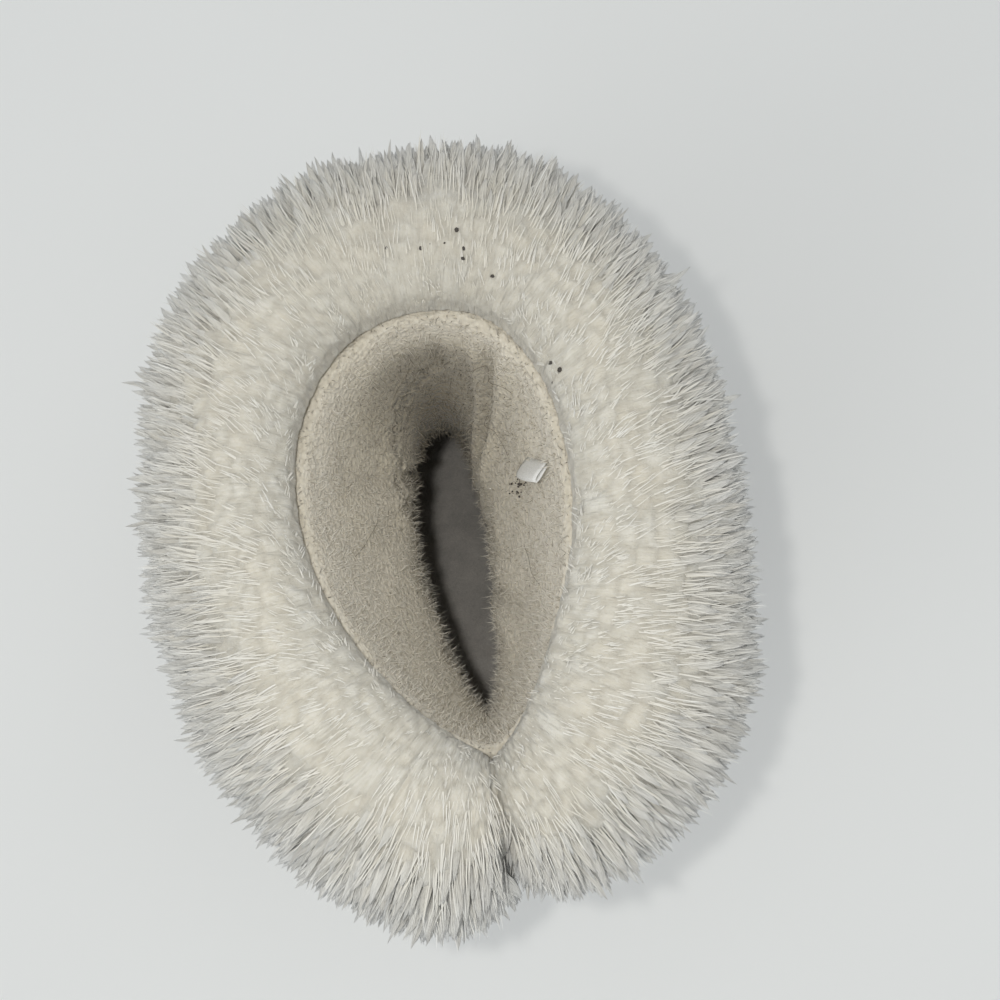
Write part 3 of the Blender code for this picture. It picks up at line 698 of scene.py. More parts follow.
def makeInsole():
    # a slab inside the feather edge: two faces over the sole's plan, dished a little and creased across
    half, across = insole["half"], insole["across"]
    turns = np.linspace(0, 1, half)
    edges = []
    for sign in (1, -1):
        side = upperSkin(0, turns * sign)
        out = upperNormal(0, np.clip(turns, 0.002, 0.998) * sign) * (1, 1, 0)
        edges.append(side - unit(out) * (shoe["wall"] + 2 * shoe["gap"]))
    outer, inner = edges
    outer[[0, -1], 0] = inner[[0, -1], 0] = (outer[[0, -1], 0] + inner[[0, -1], 0]) / 2
    share = np.linspace(0, 1, across)
    plan = outer[:, None] + (inner - outer)[:, None] * share[:, None]
    station = (shoe["heelOverhang"] - plan[..., 1]) / shoe["soleLength"]
    base = bedHeight(station) + shoe["gap"] * 1.5
    edge = np.minimum(1, 4 * share * (1 - share) * 3)[None, :]
    edge = edge * np.minimum(1, np.sin(math.pi * turns) * 6)[:, None]
    wave = np.sin(plan[..., 1] * insole["creaseWaves"] + 2.2 * softNoise(plan, 0.02, 5))
    relief = wave * smooth(0.15, 0.35, share) * insole["crease"] + softNoise(plan, 0.009, 6) * insole["fluff"]
    top = base + (shoe["insoleThickness"] - insole["bevel"]) + edge * insole["crown"] + relief * edge
    upperFace, lowerFace = plan.copy(), plan.copy()
    upperFace[..., 2], lowerFace[..., 2] = top, base
    count = half * across
    points = np.concatenate([upperFace.reshape(-1, 3), lowerFace.reshape(-1, 3)])
    cells = gridQuads(half, across)
    rim = np.concatenate([
        np.arange(across), np.arange(1, half) * across + across - 1,
        (half - 1) * across + np.arange(across - 2, -1, -1), np.arange(half - 2, 0, -1) * across,
    ])
    after = np.roll(rim, -1)
    walls = np.stack([rim, after, after + count, rim + count], axis=1)
    quads = np.concatenate([cells, cells[:, ::-1] + count, walls[:, ::-1]])
    piece = meshPiece("feltInsole", points, quads, crease=insole["edgeAngle"])
    if piece.data.polygons[0].normal.z < 0:
        piece.data.flip_normals()
    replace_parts(wear(piece, felt), "insole")


makeInsole()
print("insole made")


# the sherpa lining: a thick soft sock from the seam down into the foot; each row gives how far it stands in
liningBulk = columns(
    "level front side back",
    (0.0, 0.0050, 0.0045, 0.0050), (3.0, 0.0070, 0.0070, 0.0070), (5.0, 0.0090, 0.0085, 0.0080),
    (6.5, 0.0160, 0.0125, 0.0110), (8.0, 0.0190, 0.0160, 0.0135), (9.0, 0.0190, 0.0185, 0.0130),
    (9.7, 0.0180, 0.0212, 0.0125), (10.1, 0.0165, 0.0214, 0.0120), (10.5, 0.0140, 0.0188, 0.0110),
    (11.0, 0.0105, 0.0138, 0.0090), (11.5, 0.0080, 0.0095, 0.0070), (12.0, 0.0060, 0.0065, 0.0055),
)
# each row is one fold of the pile: its line runs from (level, turn) to (level2, turn2)
liningFolds = columns(
    "level turn level2 turn2 width depth",
    (11.6, -0.16, 9.2, -0.36, 0.0045, 0.0034),
    (11.3, -0.02, 10.2, 0.36, 0.0042, 0.0030),
    (11.0, 0.35, 8.6, 0.20, 0.0050, 0.0020),
    (10.6, -0.62, 8.8, -0.50, 0.0060, 0.0022),
    (9.8, 0.70, 8.4, 0.55, 0.0060, 0.0018),
)


def smallerRing(level, turn, front, side, back):
    # a level's ring drawn in: its length by front and back, its width in proportion
    skin, other = upperSkin(level, turn), upperSkin(level, -turn)
    centre = (skin[..., 0] + other[..., 0]) / 2
    widest = shoe["collarWidth"] / 2 * sectionAt("halfWidth", level)
    along = (1 - np.cos(math.pi * turn)) / 2
    first, last = upperSkin(level, turn * 0)[..., 1] + front, upperSkin(level, turn * 0 + 1)[..., 1] - back
    x = centre + (skin[..., 0] - centre) * (1 - side / widest)
    return np.stack([x, first + (last - first) * along, skin[..., 2]], axis=-1)


def liningFace(level, turn):
    # inside the shaft a smaller ring, in the foot an even offset, with folds and soft lumps
    level, turn = np.broadcast_arrays(level, turn)
    bulk = [read(liningBulk, name, level) + shoe["wall"] for name in ("front", "side", "back")]
    cosine, sine = np.cos(math.pi * turn), np.sin(math.pi * turn)
    depth = bulk[0] * np.maximum(cosine, 0) ** 2 + bulk[1] * sine**2 + bulk[2] * np.maximum(-cosine, 0) ** 2
    ring = smallerRing(level, turn, *bulk)
    offset = upperSkin(level, turn) - upperNormal(level, turn) * depth[..., None]
    face = offset + (ring - offset) * smooth(5.4, 7.0, level)[..., None]
    inward = -upperNormal(level, turn)
    lumps = softNoise(face, 0.016, 21) * 0.0011 + softNoise(face, 0.006, 22) * 0.00045
    for k in range(len(liningFolds["level"])):
        row = {name: column[k] for name, column in liningFolds.items()}
        f = np.clip((row["level"] - level) / (row["level"] - row["level2"]), 0, 1)
        line = row["turn"] + (row["turn2"] - row["turn"]) * f
        off = ((turn - line + 1) % 2 - 1) * 0.19
        fade = smooth(row["level2"] - 0.8, row["level2"] + 0.3, level)
        fade = fade * (1 - smooth(row["level"] - 0.2, row["level"] + 0.5, level))
        u = off / row["width"]
        lumps = lumps + fade * row["depth"] * (0.7 * np.exp(-(np.abs(u) - 1.7) ** 2) - np.exp(-u * u))
    return face + inward * lumps[..., None]


lining = {
    "cols": 200, "lowest": 0.5, "outerRows": 36, "innerRows": 96, "clear": 0.0004, "napRows": 62,
    "rim": ((0.0034, 0.0012), (0.0046, 0.0024), (0.0064, 0.0029), (0.0082, 0.0024)),
    "rimWave": 0.0006, "rimWaves": 37, "lip": 0.0012, "lipRows": 6,
    "shadeLevels": 5, "shadeLeast": 0.12, "toeShade": 0.75,
}


def makeLining():
    # its back along the upper's wall, a rolled rim of (inset, rise) rings, then its face going down
    cols, outerRows, lipRows = lining["cols"], lining["outerRows"], lining["lipRows"]
    top, lowest = shoe["topLevel"], lining["lowest"]
    turns = np.arange(cols) * 2 / cols
    outerLevels = np.linspace(lowest, top, outerRows)[:, None]
    innerLevels = np.linspace(top - 0.1, lowest, lining["innerRows"])[:, None]
    back = upperSkin(outerLevels, turns) - upperNormal(outerLevels, turns) * (shoe["wall"] + lining["clear"])
    rim = []
    for inset, rise in lining["rim"]:
        ring = smallerRing(np.full(cols, top), turns, inset, inset, inset)
        ring[:, 2] += rise + lining["rimWave"] * np.sin(turns * lining["rimWaves"])
        rim.append(ring)
    face = liningFace(innerLevels, turns)
    face[:lipRows, :, 2] += (lining["lip"] * (1 - np.arange(lipRows) / lipRows) ** 1.5)[:, None]
    points = np.concatenate([back, np.array(rim), face])
    piece = meshPiece("sherpaLining", points, gridQuads(len(points), cols, True, True))
    # painted shade: darker down the shaft, and most at the toe's side, where less light reaches
    toe = (1 + np.cos(math.pi * turns)) / 2
    shade = smooth(0, 1, (top - innerLevels) / lining["shadeLevels"]) * (lining["shadeLeast"] + toe**3)
    shade = np.clip(shade + lining["toeShade"] * toe**4 * smooth(12, 11.5, innerLevels), 0, 1)
    # painted shade in full on the back against the wall, and a little on the rim
    deep = np.concatenate([np.ones((outerRows, cols)), np.full((len(rim), cols), 0.3), shade])
    giveValue(piece, "depth", deep)
    wear(piece, sherpa)
    napRows = lining["napRows"]
    return np.concatenate([np.array(rim), face[:napRows]]), deep[outerRows : outerRows + len(rim) + napRows]


def rootsOn(grid, count, seed, weight=1.0):
    # cells of a surface picked in proportion to their area, then a place inside each
    across, down = grid[:-1, 1:] - grid[:-1, :-1], grid[1:, :-1] - grid[:-1, :-1]
    area = np.linalg.norm(np.cross(across, down), axis=-1) * weight
    chance = np.cumsum(area.ravel())
    rng = np.random.default_rng(seed)
    picks = np.searchsorted(chance, (np.arange(count) + rng.random(count)) / count * chance[-1])
    picks = np.minimum(picks, area.size - 1)
    row, col = np.divmod(picks, area.shape[1])
    f, g = rng.random(count), rng.random(count)
    spot = (grid[row, col] * ((1 - f) * (1 - g))[:, None] + grid[row + 1, col] * (f * (1 - g))[:, None]
            + grid[row, col + 1] * ((1 - f) * g)[:, None] + grid[row + 1, col + 1] * (f * g)[:, None])
    return {"row": row + f, "col": col + g, "spot": spot, "normal": unit(np.cross(across, down)[row, col])}


nap = {"count": 11500, "length": (0.0022, 0.0042), "radius": (0.00016, 0.00026), "sink": 0.0004, "bend": 0.55}


def growPile(grid, deep):
    # the lining's nap: short threads, thicker at the root, each path root + length (u first + bend u^2 side)
    count = nap["count"]
    closed = np.concatenate([grid, grid[:, :1]], axis=1)
    roots = rootsOn(closed, count, 31, np.linspace(1.3, 0.5, len(grid) - 1)[:, None])
    rng = np.random.default_rng(32)
    outward = roots["normal"]
    length = rng.uniform(*nap["length"], count)[:, None, None]
    lean = rng.normal(0, 0.75, (count, 3)) + (0, 0, 0.3)
    first = unit(outward + lean * 0.7)[:, None]
    bend = unit(rng.normal(0, 1, (count, 3)))[:, None]
    along = np.array([0, 0.5, 1.0])
    u = along[None, :, None]
    root = roots["spot"] - outward * nap["sink"]
    paths = root[:, None] + length * (u * first + nap["bend"] * u**2 * bend)
    row, col = roots["row"].astype(int), roots["col"].astype(int)
    # painted shade: each thread takes the lining's darkness at its root
    shade = deep[np.minimum(row, len(deep) - 1), col % deep.shape[1]]
    radius = rng.uniform(*nap["radius"], count)
    piece = strandMesh("sherpaNap", paths, radius, shade, np.array([1, 0.8, 0]), along)
    wear(piece, napFinish())


def cuffSkin(share, turn, size):
    # the roll: out from the collar's ring and up or down from it, by the cuff's own section
    share, turn = np.broadcast_arrays(share, turn)
    top = shoe["topLevel"]
    ring = upperSkin(np.full(turn.shape, top), turn)
    length = upperSkin(top, 1.0)[1] - upperSkin(top, 0.0)[1]
    across, along = length * np.sin(math.pi * turn), -shoe["collarWidth"] * np.cos(math.pi * turn)
    outward = unit(np.stack([across, along, 0 * turn], axis=-1))
    folded = (turn + 1) % 2 - 1
    spread = read(cuffOutline, "spread", folded) * shoe["cuffSpread"] * size
    rise = read(cuffOutline, "rise", folded) * shoe["cuffRise"] * size
    point = ring + outward * (spread * read(cuffSection, "out", share))[..., None]
    point[..., 2] += rise * read(cuffSection, "up", share)
    return point


# the fur cuff: its size against the solid's, its tufts, and how many locks, wisps and curls stand on it
cuff = {
    "size": 0.91, "lowSize": 0.97, "rows": 150, "cols": 440, "shaftRows": 8, "shaftFoot": 9.9,
    "cellsRound": 68, "cellRows": (0, 3, 5.5, 8, 11, 13), "split": 0.003, "splitWidth": 0.022,
    "sweepFrom": (0.0, 0.020, 0.0), "toeShade": 0.35, "softness": 0.72, "skyward": 1.4,
    "bladePieces": 3, "blades": 2560, "bladeRadius": 0.0016, "bladeFlat": 0.36, "bladeSides": 4,
    "wisps": 2000, "wispRadius": 0.00026, "curlPieces": 2, "curls": 3900, "curlRadius": 0.00022,
}
cuffRelief = columns(
    # share of the section, height of the tufts, lumps, shade across the chart
    "share tuft lump tone",
    (0.00, 0.0005, 0.0004, 0.50), (0.12, 0.0007, 0.0009, 0.45), (0.25, 0.0008, 0.0016, 0.30),
    (0.36, 0.0010, 0.0020, 0.40), (0.50, 0.0015, 0.0020, 0.70), (0.75, 0.0024, 0.0016, 0.80),
    (1.00, 0.0010, 0.0004, 0.60),
)


def cells(down, across, wide, seed):
    # nearest and next jittered cell of a lattice that closes on itself across, the place inside the nearest
    # and its shade
    rng = np.random.default_rng(seed)
    jitter, shade = rng.uniform(0.12, 0.88, (64, wide, 2)), rng.random((64, wide))
    i0, j0 = np.floor(down).astype(int), np.floor(across).astype(int)
    near = second = np.full(down.shape, 9.0)
    inside = tint = np.zeros(down.shape)
    for di, dj in itertools.product((-1, 0, 1), repeat=2):
        i, j = i0 + di, j0 + dj
        offDown = down - i - jitter[i % 64, j % wide, 0]
        offAcross = across - j - jitter[i % 64, j % wide, 1]
        far = np.hypot(offDown, offAcross)
        closer = far < near
        second = np.where(closer, near, np.minimum(second, far))
        inside, tint = np.where(closer, offDown, inside), np.where(closer, shade[i % 64, j % wide], tint)
        near = np.where(closer, far, near)
    return near, second, inside, tint


def furSkin(share, turn):
    # the roll with its tufts: each cell is a shingle, higher towards its tip, with a crevice round it
    share, turn = np.broadcast_arrays(share, turn)
    low = smooth(0.45, 0.85, share)
    plain = cuffSkin(share, turn, cuff["size"])
    plain = plain + (cuffSkin(share, turn, cuff["lowSize"]) - plain) * low[..., None]
    middle = plain.mean(axis=(0, 1))
    down = np.interp(share, (0, 0.15, 0.3, 0.5, 0.8, 1), cuff["cellRows"])
    across = (turn % 2) / 2 * cuff["cellsRound"]
    down = down + 0.75 * softNoise(plain, 0.013, 71)
    across = across + 0.75 * softNoise(plain, 0.014, 72)
    near, second, inside, tint = cells(down, across % cuff["cellsRound"], cuff["cellsRound"], 73)
    body = smooth(-0.05, 0.65, second - near)
    tuft = body * (0.62 + 0.50 * np.clip(inside + 0.35, 0, 1))
    lumps = softNoise(plain, 0.024, 74) + 0.5 * softNoise(plain, 0.010, 75)
    rise, swell = (read(cuffRelief, name, share, straight) for name in ("tuft", "lump"))
    fromSplit = (1 - np.abs((turn + 1) % 2 - 1)) / cuff["splitWidth"]
    split = cuff["split"] * np.exp(-(fromSplit**2)) * smooth(0.04, 0.30, share)
    normal = unit(np.cross(np.gradient(plain, axis=0), np.gradient(plain, axis=1)))
    normal *= np.sign((normal[2:-2:3] * (plain[2:-2:3] - middle)).sum())
    return plain + normal * (rise * tuft + swell * lumps - split)[..., None], normal, body, tint


def toeShade(share, turn):
    # painted shade: the fur over the toe is greyer towards the seam, where less light falls
    return np.exp(-(turn / 0.2) ** 2) * np.interp(share, (0.10, 0.34, 0.48), (1, 0.6, 0))


def makeCuffBody():
    # the tufted roll, closed by the shaft's skin and a narrow lid at the collar
    cols, rows, top = cuff["cols"], cuff["rows"], shoe["topLevel"]
    turns = np.arange(cols) * 2 / cols - 1 + 1e-6
    shares = np.linspace(0, 1, rows)
    wide = np.concatenate([turns[-2:] - 2, turns, turns[:2] + 2])
    skin, normal, body, tint = furSkin(shares[:, None], wide)
    skin, body, tint = skin[:, 2:-2], body[:, 2:-2], tint[:, 2:-2]
    levels = np.linspace(cuff["shaftFoot"], top, cuff["shaftRows"])[:, None]
    shaft = upperSkin(levels, turns) + upperNormal(levels, turns) * 0.0004
    lid = []
    for inset, rise in ((-0.0002, 0.0006), (0.0024, 0.0006)):
        ring = smallerRing(np.full(cols, top), turns, inset, inset, inset)
        ring[:, 2] += rise
        lid.append(ring)
    points = np.concatenate([skin, shaft, np.array(lid)])
    count = len(points)
    piece = meshPiece("cuffFleece", points, gridQuads(count, cols, True, True))
    r, c = np.meshgrid(np.arange(count), np.arange(cols), indexing="ij")
    corners = ((0, 0), (0, 1), (1, 1), (1, 0))
    chart = np.stack([np.stack([(c + dc) / cols, (r + dr) / (count + 1)], -1) for dr, dc in corners], axis=2)
    layer = piece.data.uv_layers.new(name="OFBake")
    layer.data.foreach_set("uv", (chart * 0.998 + 0.001).astype(np.float32).ravel())
    shade = read(cuffRelief, "tone", shares, straight)[:, None] + (tint - 0.5) * 0.25
    pad = np.full((count - rows, cols), 0.5)
    giveValue(piece, "tone", np.concatenate([np.clip(shade, 0, 1), pad]))
    # painted shade: darker in the crevice round each tuft and over the toe
    dark = np.clip(1 - body + 0.6 * toeShade(shares[:, None], turns), 0, 1)
    giveValue(piece, "creviceShade", np.concatenate([dark, pad * 0]))
    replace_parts(wear(piece, fleeceFinish()), "cuff")


furLay = columns(
    # share of the section, length, lean along the roll, droop, pull of a lock's tips, spread of its roots
    "share length lean droop pull roots tone",
    (0.00, 0.0045, 0.60, 0.02, 0.35, 0.0014, 0.45),
    (0.12, 0.0060, 1.10, 0.02, 0.35, 0.0014, 0.35),
    (0.25, 0.0090, 2.40, 0.04, 0.45, 0.0015, 0.20),
    (0.34, 0.0125, 3.20, 0.05, 0.60, 0.0017, 0.25),
    (0.42, 0.0155, 3.00, 0.06, 0.88, 0.0016, 0.45),
    (0.50, 0.0145, 2.30, 0.08, 0.90, 0.0016, 0.70),
    (0.58, 0.0135, 2.00, 0.10, 0.92, 0.0016, 0.80),
    (0.80, 0.0160, 2.00, 0.14, 0.88, 0.0016, 0.75),
    (1.00, 0.0130, 1.60, 0.18, 0.70, 0.0018, 0.60),
)


def growLocks(name, groups, each, radius, weights, seed, u, taper, sides=3, flat=1.0, rootShade=0.4):
    # a lock's strands leave their roots, lie along the roll, droop by 0.30 u^2 and are drawn to the lock's
    # middle by pull * u^1.1; weights says how thick the fur stands from its first share of the section to
    # its last
    lowest, highest = weights[0][0], weights[0][-1]
    broad = sides > 3
    shares, turns = np.linspace(lowest, highest, 60), np.linspace(-0.997, 0.997, 440)
    grid = furSkin(shares[:, None], turns)[0]
    weight = np.interp(shares[:-1], *weights)[:, None]
    locks = rootsOn(grid, groups, seed, weight)
    rng = np.random.default_rng(seed + 1)
    share = np.interp(locks["row"], np.arange(len(shares)), shares)
    turn = np.interp(locks["col"], np.arange(len(turns)), turns)
    lay = {key: read(furLay, key, share, straight)[:, None] for key in furLay}
    smoothGrid = cuffSkin(shares[:, None], turns, cuff["size"])
    row, col = locks["row"].astype(int), locks["col"].astype(int)
    down = unit(smoothGrid[row + 1, col] - smoothGrid[row, col])
    across = unit(smoothGrid[row, col + 1] - smoothGrid[row, col])
    normal = -np.cross(across, down)
    radial = unit((locks["spot"] - cuff["sweepFrom"]) * (1, 1, 0))
    sideways = unit(np.cross(normal, down))
    sway = softNoise(locks["spot"], 0.020, seed + 2)[:, None]
    lead = unit(normal + down * lay["lean"] + radial * 0.55 * lay["lean"]
                + sideways * sway * 0.4 * lay["lean"] + rng.normal(0, 0.12, normal.shape))
    long = lay["length"] * rng.uniform(0.78, 1.15, lay["length"].shape)
    sink = radial * 0.25 - np.array((0, 0, 1.0)) * (lay["droop"] * 4)
    swing = rng.normal(0, 0.22, normal.shape)
    count = groups * each
    of = np.repeat(np.arange(groups), each)
    off = rng.normal(0, 1, (count, 3)) * lay["roots"][of] * (each > 1)
    off -= normal[of] * (off * normal[of]).sum(-1, keepdims=True)
    heading = unit(lead[of] + rng.normal(0, 0.07, (count, 3)))
    reach = long[of] * rng.uniform(0.74, 1.06, (count, 1))
    t = u[None, :, None]
    bend = (sink + swing)[of] + rng.normal(0, 0.06, (count, 3))
    root, reach = locks["spot"][of], reach[:, None]
    own = (root + off - normal[of] * (0.0016 if broad else 0.0010))[:, None]
    own = own + reach * (t * heading[:, None] + 0.30 * t**2 * bend[:, None])
    guide = root[:, None] + off[:, None] * 0.20
    guide = guide + reach * (t * lead[of][:, None] + 0.30 * t**2 * (sink + swing)[of][:, None])
    paths = own + (guide - own) * (lay["pull"][of][:, None] * t**1.1)
    wave = unit(rng.normal(0, 1, (count, 1, 3))) * np.sin(2 * math.pi * (t * 1.2 + rng.random((count, 1, 1))))
    paths = paths + wave * 0.02 * reach * t
    tone = lay["tone"][of, 0] + rng.normal(0, 0.12, groups)[of] + rng.normal(0, 0.06, count)
    # painted shade: locks over the toe take a darker, warmer tone
    tone = np.clip(tone - cuff["toeShade"] * toeShade(share, turn)[of], 0.02, 0.98)
    thick = radius * rng.uniform(0.6, 1.15, count)
    if broad:
        thick = thick * np.interp(share, (0.2, 0.5), (0.6, 1.0))[of]
    # a strand's chart starts at rootShade, so its root takes only part of the painted root shade
    along = rootShade + (1 - rootShade) * u
    skyward = unit(normal[of] + (0, 0, cuff["skyward"]))
    piece = strandMesh(name, paths, thick, tone, taper, along, sides, normal[of] if broad else None, flat,
                       skyward, cuff["softness"])
    wear(piece, fur)


def growFur():
    # flat blades outside, thin wisps among them and short curls towards the lining; u and the taper run
    # from root to tip, and thickness is given at shares of the section
    thickness = (0.25, 0.28, 0.36, 0.42, 0.60, 0.75, 0.98), (0.1, 0.1, 0.7, 1.7, 1.5, 0.9, 0.6)
    outer = [row[1:] for row in thickness]
    u, taper = np.array(((0, 0.16, 0.42, 0.7, 0.88, 1.0), (0.3, 0.9, 1.0, 0.78, 0.42, 0)))
    for part in range(cuff["bladePieces"]):
        growLocks(f"cuffLocks{part + 1}", cuff["blades"], 1, cuff["bladeRadius"], outer, 100 + 10 * part,
                  u, taper, cuff["bladeSides"], cuff["bladeFlat"], 0.3)
    u, taper = np.array(((0, 0.3, 0.6, 0.85, 1.0), (0.8, 1.0, 0.85, 0.5, 0)))
    growLocks("cuffWisps", cuff["wisps"], 3, cuff["wispRadius"], thickness, 150, u, taper)
    u, taper = np.array(((0, 0.4, 0.75, 1.0), (0.9, 1.0, 0.6, 0)))
    thickness = (0.05, 0.25, 0.40, 0.55), (1.0, 1.0, 0.9, 0.4)
    for part in range(cuff["curlPieces"]):
        growLocks(f"cuffCurls{part + 1}", cuff["curls"] // 4, 4, cuff["curlRadius"], thickness,
                  200 + 10 * part, u, taper)


# the small things lying on the pile: a bare folded label, dirt, dark crumbs for dirt and painted shadow below
# the label, and stray hairs
label = {
    "level": 11.62, "turn": -0.398, "width": 0.0190, "reach": 0.0065, "open": 0.0016, "thickness": 0.0003,
    "off": 0.0012, "curl": 0.006, "long": 25, "wide": 9,
}


def makeLabel():
    # a tape folded once: it leaves its seam, turns over at the fold and comes back under itself;
    # reach = sin(pi t)^0.7 and the rise follows cos(pi t)
    level, turn = label["level"], label["turn"]
    spot = liningFace(np.array([level]), np.array([turn]))[0]
    across = unit(liningFace(np.array([level + 0.3]), np.array([turn - 0.03]))[0] - spot)
    forward = unit(liningFace(np.array([level]), np.array([turn + 0.02]))[0] - spot)
    outward = -upperNormal(np.array([level]), np.array([turn]))[0]
    long, wide = label["long"], label["wide"]
    t, w = np.linspace(0, 1, long), np.linspace(-0.5, 0.5, wide)
    reach = label["reach"] * np.sin(math.pi * t) ** 0.7
    rise = label["open"] * np.cos(math.pi * t) * (0.4 + 0.6 * np.sin(math.pi * t)) - 0.75 * reach
    line = spot + outward * label["off"] + outward * reach[:, None] + forward * rise[:, None]
    curl = (w**2 * label["curl"])[None, :, None] * outward * (reach / label["reach"])[:, None, None]
    points = line[:, None] + across * (w * label["width"])[None, :, None] - curl
    piece = meshPiece("foldedLabel", points, gridQuads(long, wide, False, False))
    giveUv(piece, np.tile((w + 0.5) * 0.99 + 0.005, long), np.repeat(t * 0.99 + 0.005, wide))
    solid = piece.modifiers.new("tapeThickness", "SOLIDIFY")
    solid.thickness, solid.offset = label["thickness"], 0
    wear(piece, tape)


dirt = columns(
    # share of the cuff's section, turn, radius
    "share turn radius",
    (0.126, 0.039, 0.0006), (0.186, 0.021, 0.0005), (0.171, -0.019, 0.0008), (0.178, -0.030, 0.0004),
    (0.181, -0.051, 0.0004), (0.216, -0.064, 0.0007), (0.173, -0.079, 0.0006), (0.151, -0.081, 0.0007),
    (0.131, -0.136, 0.0007), (0.085, -0.309, 0.0008), (0.098, -0.327, 0.0008), (0.065, -0.332, 0.0006),
)


# the patch of crumbs below the label, dirt and painted shadow of the label: its middle and spread in level
# and turn, and the crumbs' radii
patch = {
    "crumbs": 46, "level": (11.34, 0.14), "turn": (-0.412, 0.009), "radius": (0.00018, 0.00042),
    "above": 0.0005, "deep": 0.0031, "ring": 7, "latitudes": (-50, -18, 18, 50),
}


def makeDirtAndShade():
    # each crumb is a ball whose radius noise makes up to half larger or smaller, sunk a little in the pile
    shares, turns = np.linspace(0.04, 0.24, 81), np.linspace(-0.36, 0.06, 211)
    skin, normal = furSkin(shares[:, None], turns)[:2]
    row, col = np.searchsorted(shares, dirt["share"]), np.searchsorted(turns, dirt["turn"])
    rng = np.random.default_rng(82)
    crumbs, count, rings = patch["crumbs"], patch["ring"], len(patch["latitudes"])
    level, turn = rng.normal(*patch["level"], crumbs), rng.normal(*patch["turn"], crumbs)
    onFur = skin[row, col] + normal[row, col] * patch["above"]
    # the crumbs on the fur are dirt; those below the label are dirt and painted shadow of the label
    centre = np.concatenate([onFur, liningFace(level, turn) - upperNormal(level, turn) * patch["deep"]])
    radius = np.concatenate([dirt["radius"], rng.uniform(*patch["radius"], crumbs)])
    lat, lon = np.radians(patch["latitudes"])[:, None], np.arange(count) * 2 * math.pi / count
    ball = np.broadcast_arrays(np.cos(lat) * np.cos(lon), np.cos(lat) * np.sin(lon), np.sin(lat))
    ball = np.concatenate([np.stack(ball, -1).reshape(-1, 3), ((0, 0, -1), (0, 0, 1))])
    points = centre[:, None] + radius[:, None, None] * ball
    points = points + ball * (radius[:, None] * 0.5 * softNoise(points, 0.0007, 81))[..., None]
    start = np.arange(len(centre))[:, None, None] * len(ball)
    ring, pole, last = np.arange(count), np.full(count, len(ball) - 2), count * (rings - 1)
    after = (ring + 1) % count
    low, high = np.stack([ring, pole, after], 1), np.stack([last + ring, last + after, pole + 1], 1)
    caps = np.concatenate([low, high])[None] + start
    sides = gridQuads(rings, count, False, True)[None] + start
    piece = meshPiece("dirtAndShadeCrumbs", points, sides.reshape(-1, 4), caps.reshape(-1, 3))
    wear(piece, dirtAndShade)


strays = columns(
    # on the lining: level and turn at both ends, and how far the hair sways in turns
    "level turn level2 turn2 sway",
    (10.9, -0.20, 11.2, -0.36, 0.012), (11.4, 0.06, 11.1, 0.16, 0.010), (11.5, -0.12, 11.7, -0.27, -0.014),
    (11.0, 0.42, 11.5, 0.50, 0.012), (11.2, -0.52, 11.6, -0.60, -0.010),
)
hair = {"deep": 0.0026, "radius": 0.00009, "points": 15}


def makeHairs():
    # single long hairs lie on the lining, each an arc between its two ends, sway sin(pi t)
    t = np.linspace(0, 1, hair["points"])[None, :]
    first, last = ({key: strays[key + end][:, None] for key in ("level", "turn")} for end in ("", "2"))
    level = first["level"] + (last["level"] - first["level"]) * t
    turn = first["turn"] + (last["turn"] - first["turn"]) * t + strays["sway"][:, None] * np.sin(math.pi * t)
    paths = liningFace(level, turn) - upperNormal(level, turn) * hair["deep"]
    count, taper = len(paths), np.append(np.ones(hair["points"] - 1), 0)
    thick, tone = np.full(count, hair["radius"]), np.linspace(0.1, 0.9, count)
    piece = strandMesh("strayHairs", paths, thick, tone, taper, t[0])
    wear(piece, strayHair)


growPile(*makeLining())
print("lining made")
makeCuffBody()
growFur()
print("cuff made")
makeLabel()
makeDirtAndShade()
makeHairs()
print("label and dirt made")


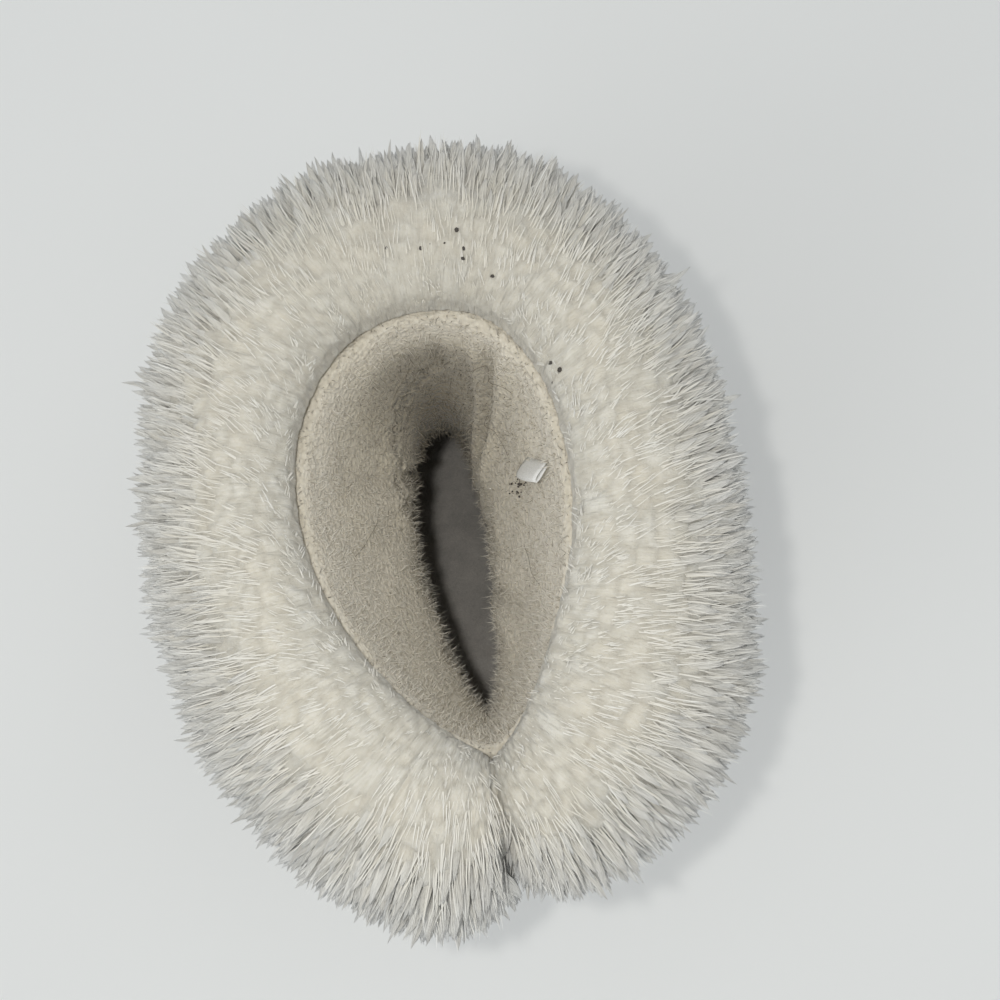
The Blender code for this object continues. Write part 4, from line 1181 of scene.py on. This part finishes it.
# floor, lights and camera: powers in watts, sizes in metres, the lens in millimetres
room = {"floor": 8, "sky": (0.95, 0.975, 1.0, 1), "skyPower": 0.68, "lampsAim": (0, -0.03, 0.15)}
lamps = (
    # name, place, size, power, colour
    ("nearLight", (0.018, 0.026, 0.668), 0.014, 0.74, (1.0, 0.985, 0.955)),
    ("windowLight", (1.6, 1.2, 1.9), 1.4, 8.0, (0.97, 0.985, 1.0)),
)
view = {
    "lens": 46.5, "film": 36, "place": (-0.0142003, 0.03815273, 0.662),
    "turned": ((-0.985942, -0.166760, 0.010516),
               (0.165729, -0.967951, 0.188690),
               (-0.021287, 0.187780, 0.981980)),
}


def makeStage():
    # a pale paper floor under an even sky, a small lamp near the camera and a window's soft light
    bpy.ops.mesh.primitive_plane_add(size=room["floor"])
    floor = bpy.context.object
    floor.name = "floor"
    paper = Finish("floorPaper", Roughness=0.85)
    paper.colour(paper.ramp(paper.noise(3, 2, 0.5), (0.3, (0.86, 0.865, 0.84)), (0.7, (0.88, 0.885, 0.86))))
    floor.data.materials.append(paper.material)
    world = bpy.data.worlds.new("softRoom")
    world.use_nodes = True
    sky = world.node_tree.nodes["Background"].inputs
    sky["Color"].default_value, sky["Strength"].default_value = room["sky"], room["skyPower"]
    bpy.context.scene.world = world
    for name, place, size, power, colour in lamps:
        lamp = bpy.data.lights.new(name, "AREA")
        lamp.size, lamp.energy, lamp.color = size, power, colour
        lightObject = bpy.data.objects.new(name, lamp)
        lightObject.location = place
        aim = Vector(room["lampsAim"]) - Vector(place)
        lightObject.rotation_euler = aim.to_track_quat("-Z", "Y").to_euler()
        bpy.context.scene.collection.objects.link(lightObject)


def makeCamera():
    # almost straight down over the back of the collar, rolled as the photograph is
    lens = bpy.data.cameras.new("camera")
    lens.lens, lens.sensor_width = view["lens"], view["film"]
    camera = bpy.data.objects.new("camera", lens)
    camera.matrix_world = Matrix.Translation(view["place"]) @ Matrix(view["turned"]).to_4x4()
    bpy.context.scene.collection.objects.link(camera)
    bpy.context.scene.camera = camera


makeStage()
makeCamera()
bpy.context.scene.view_settings.view_transform = "Standard"
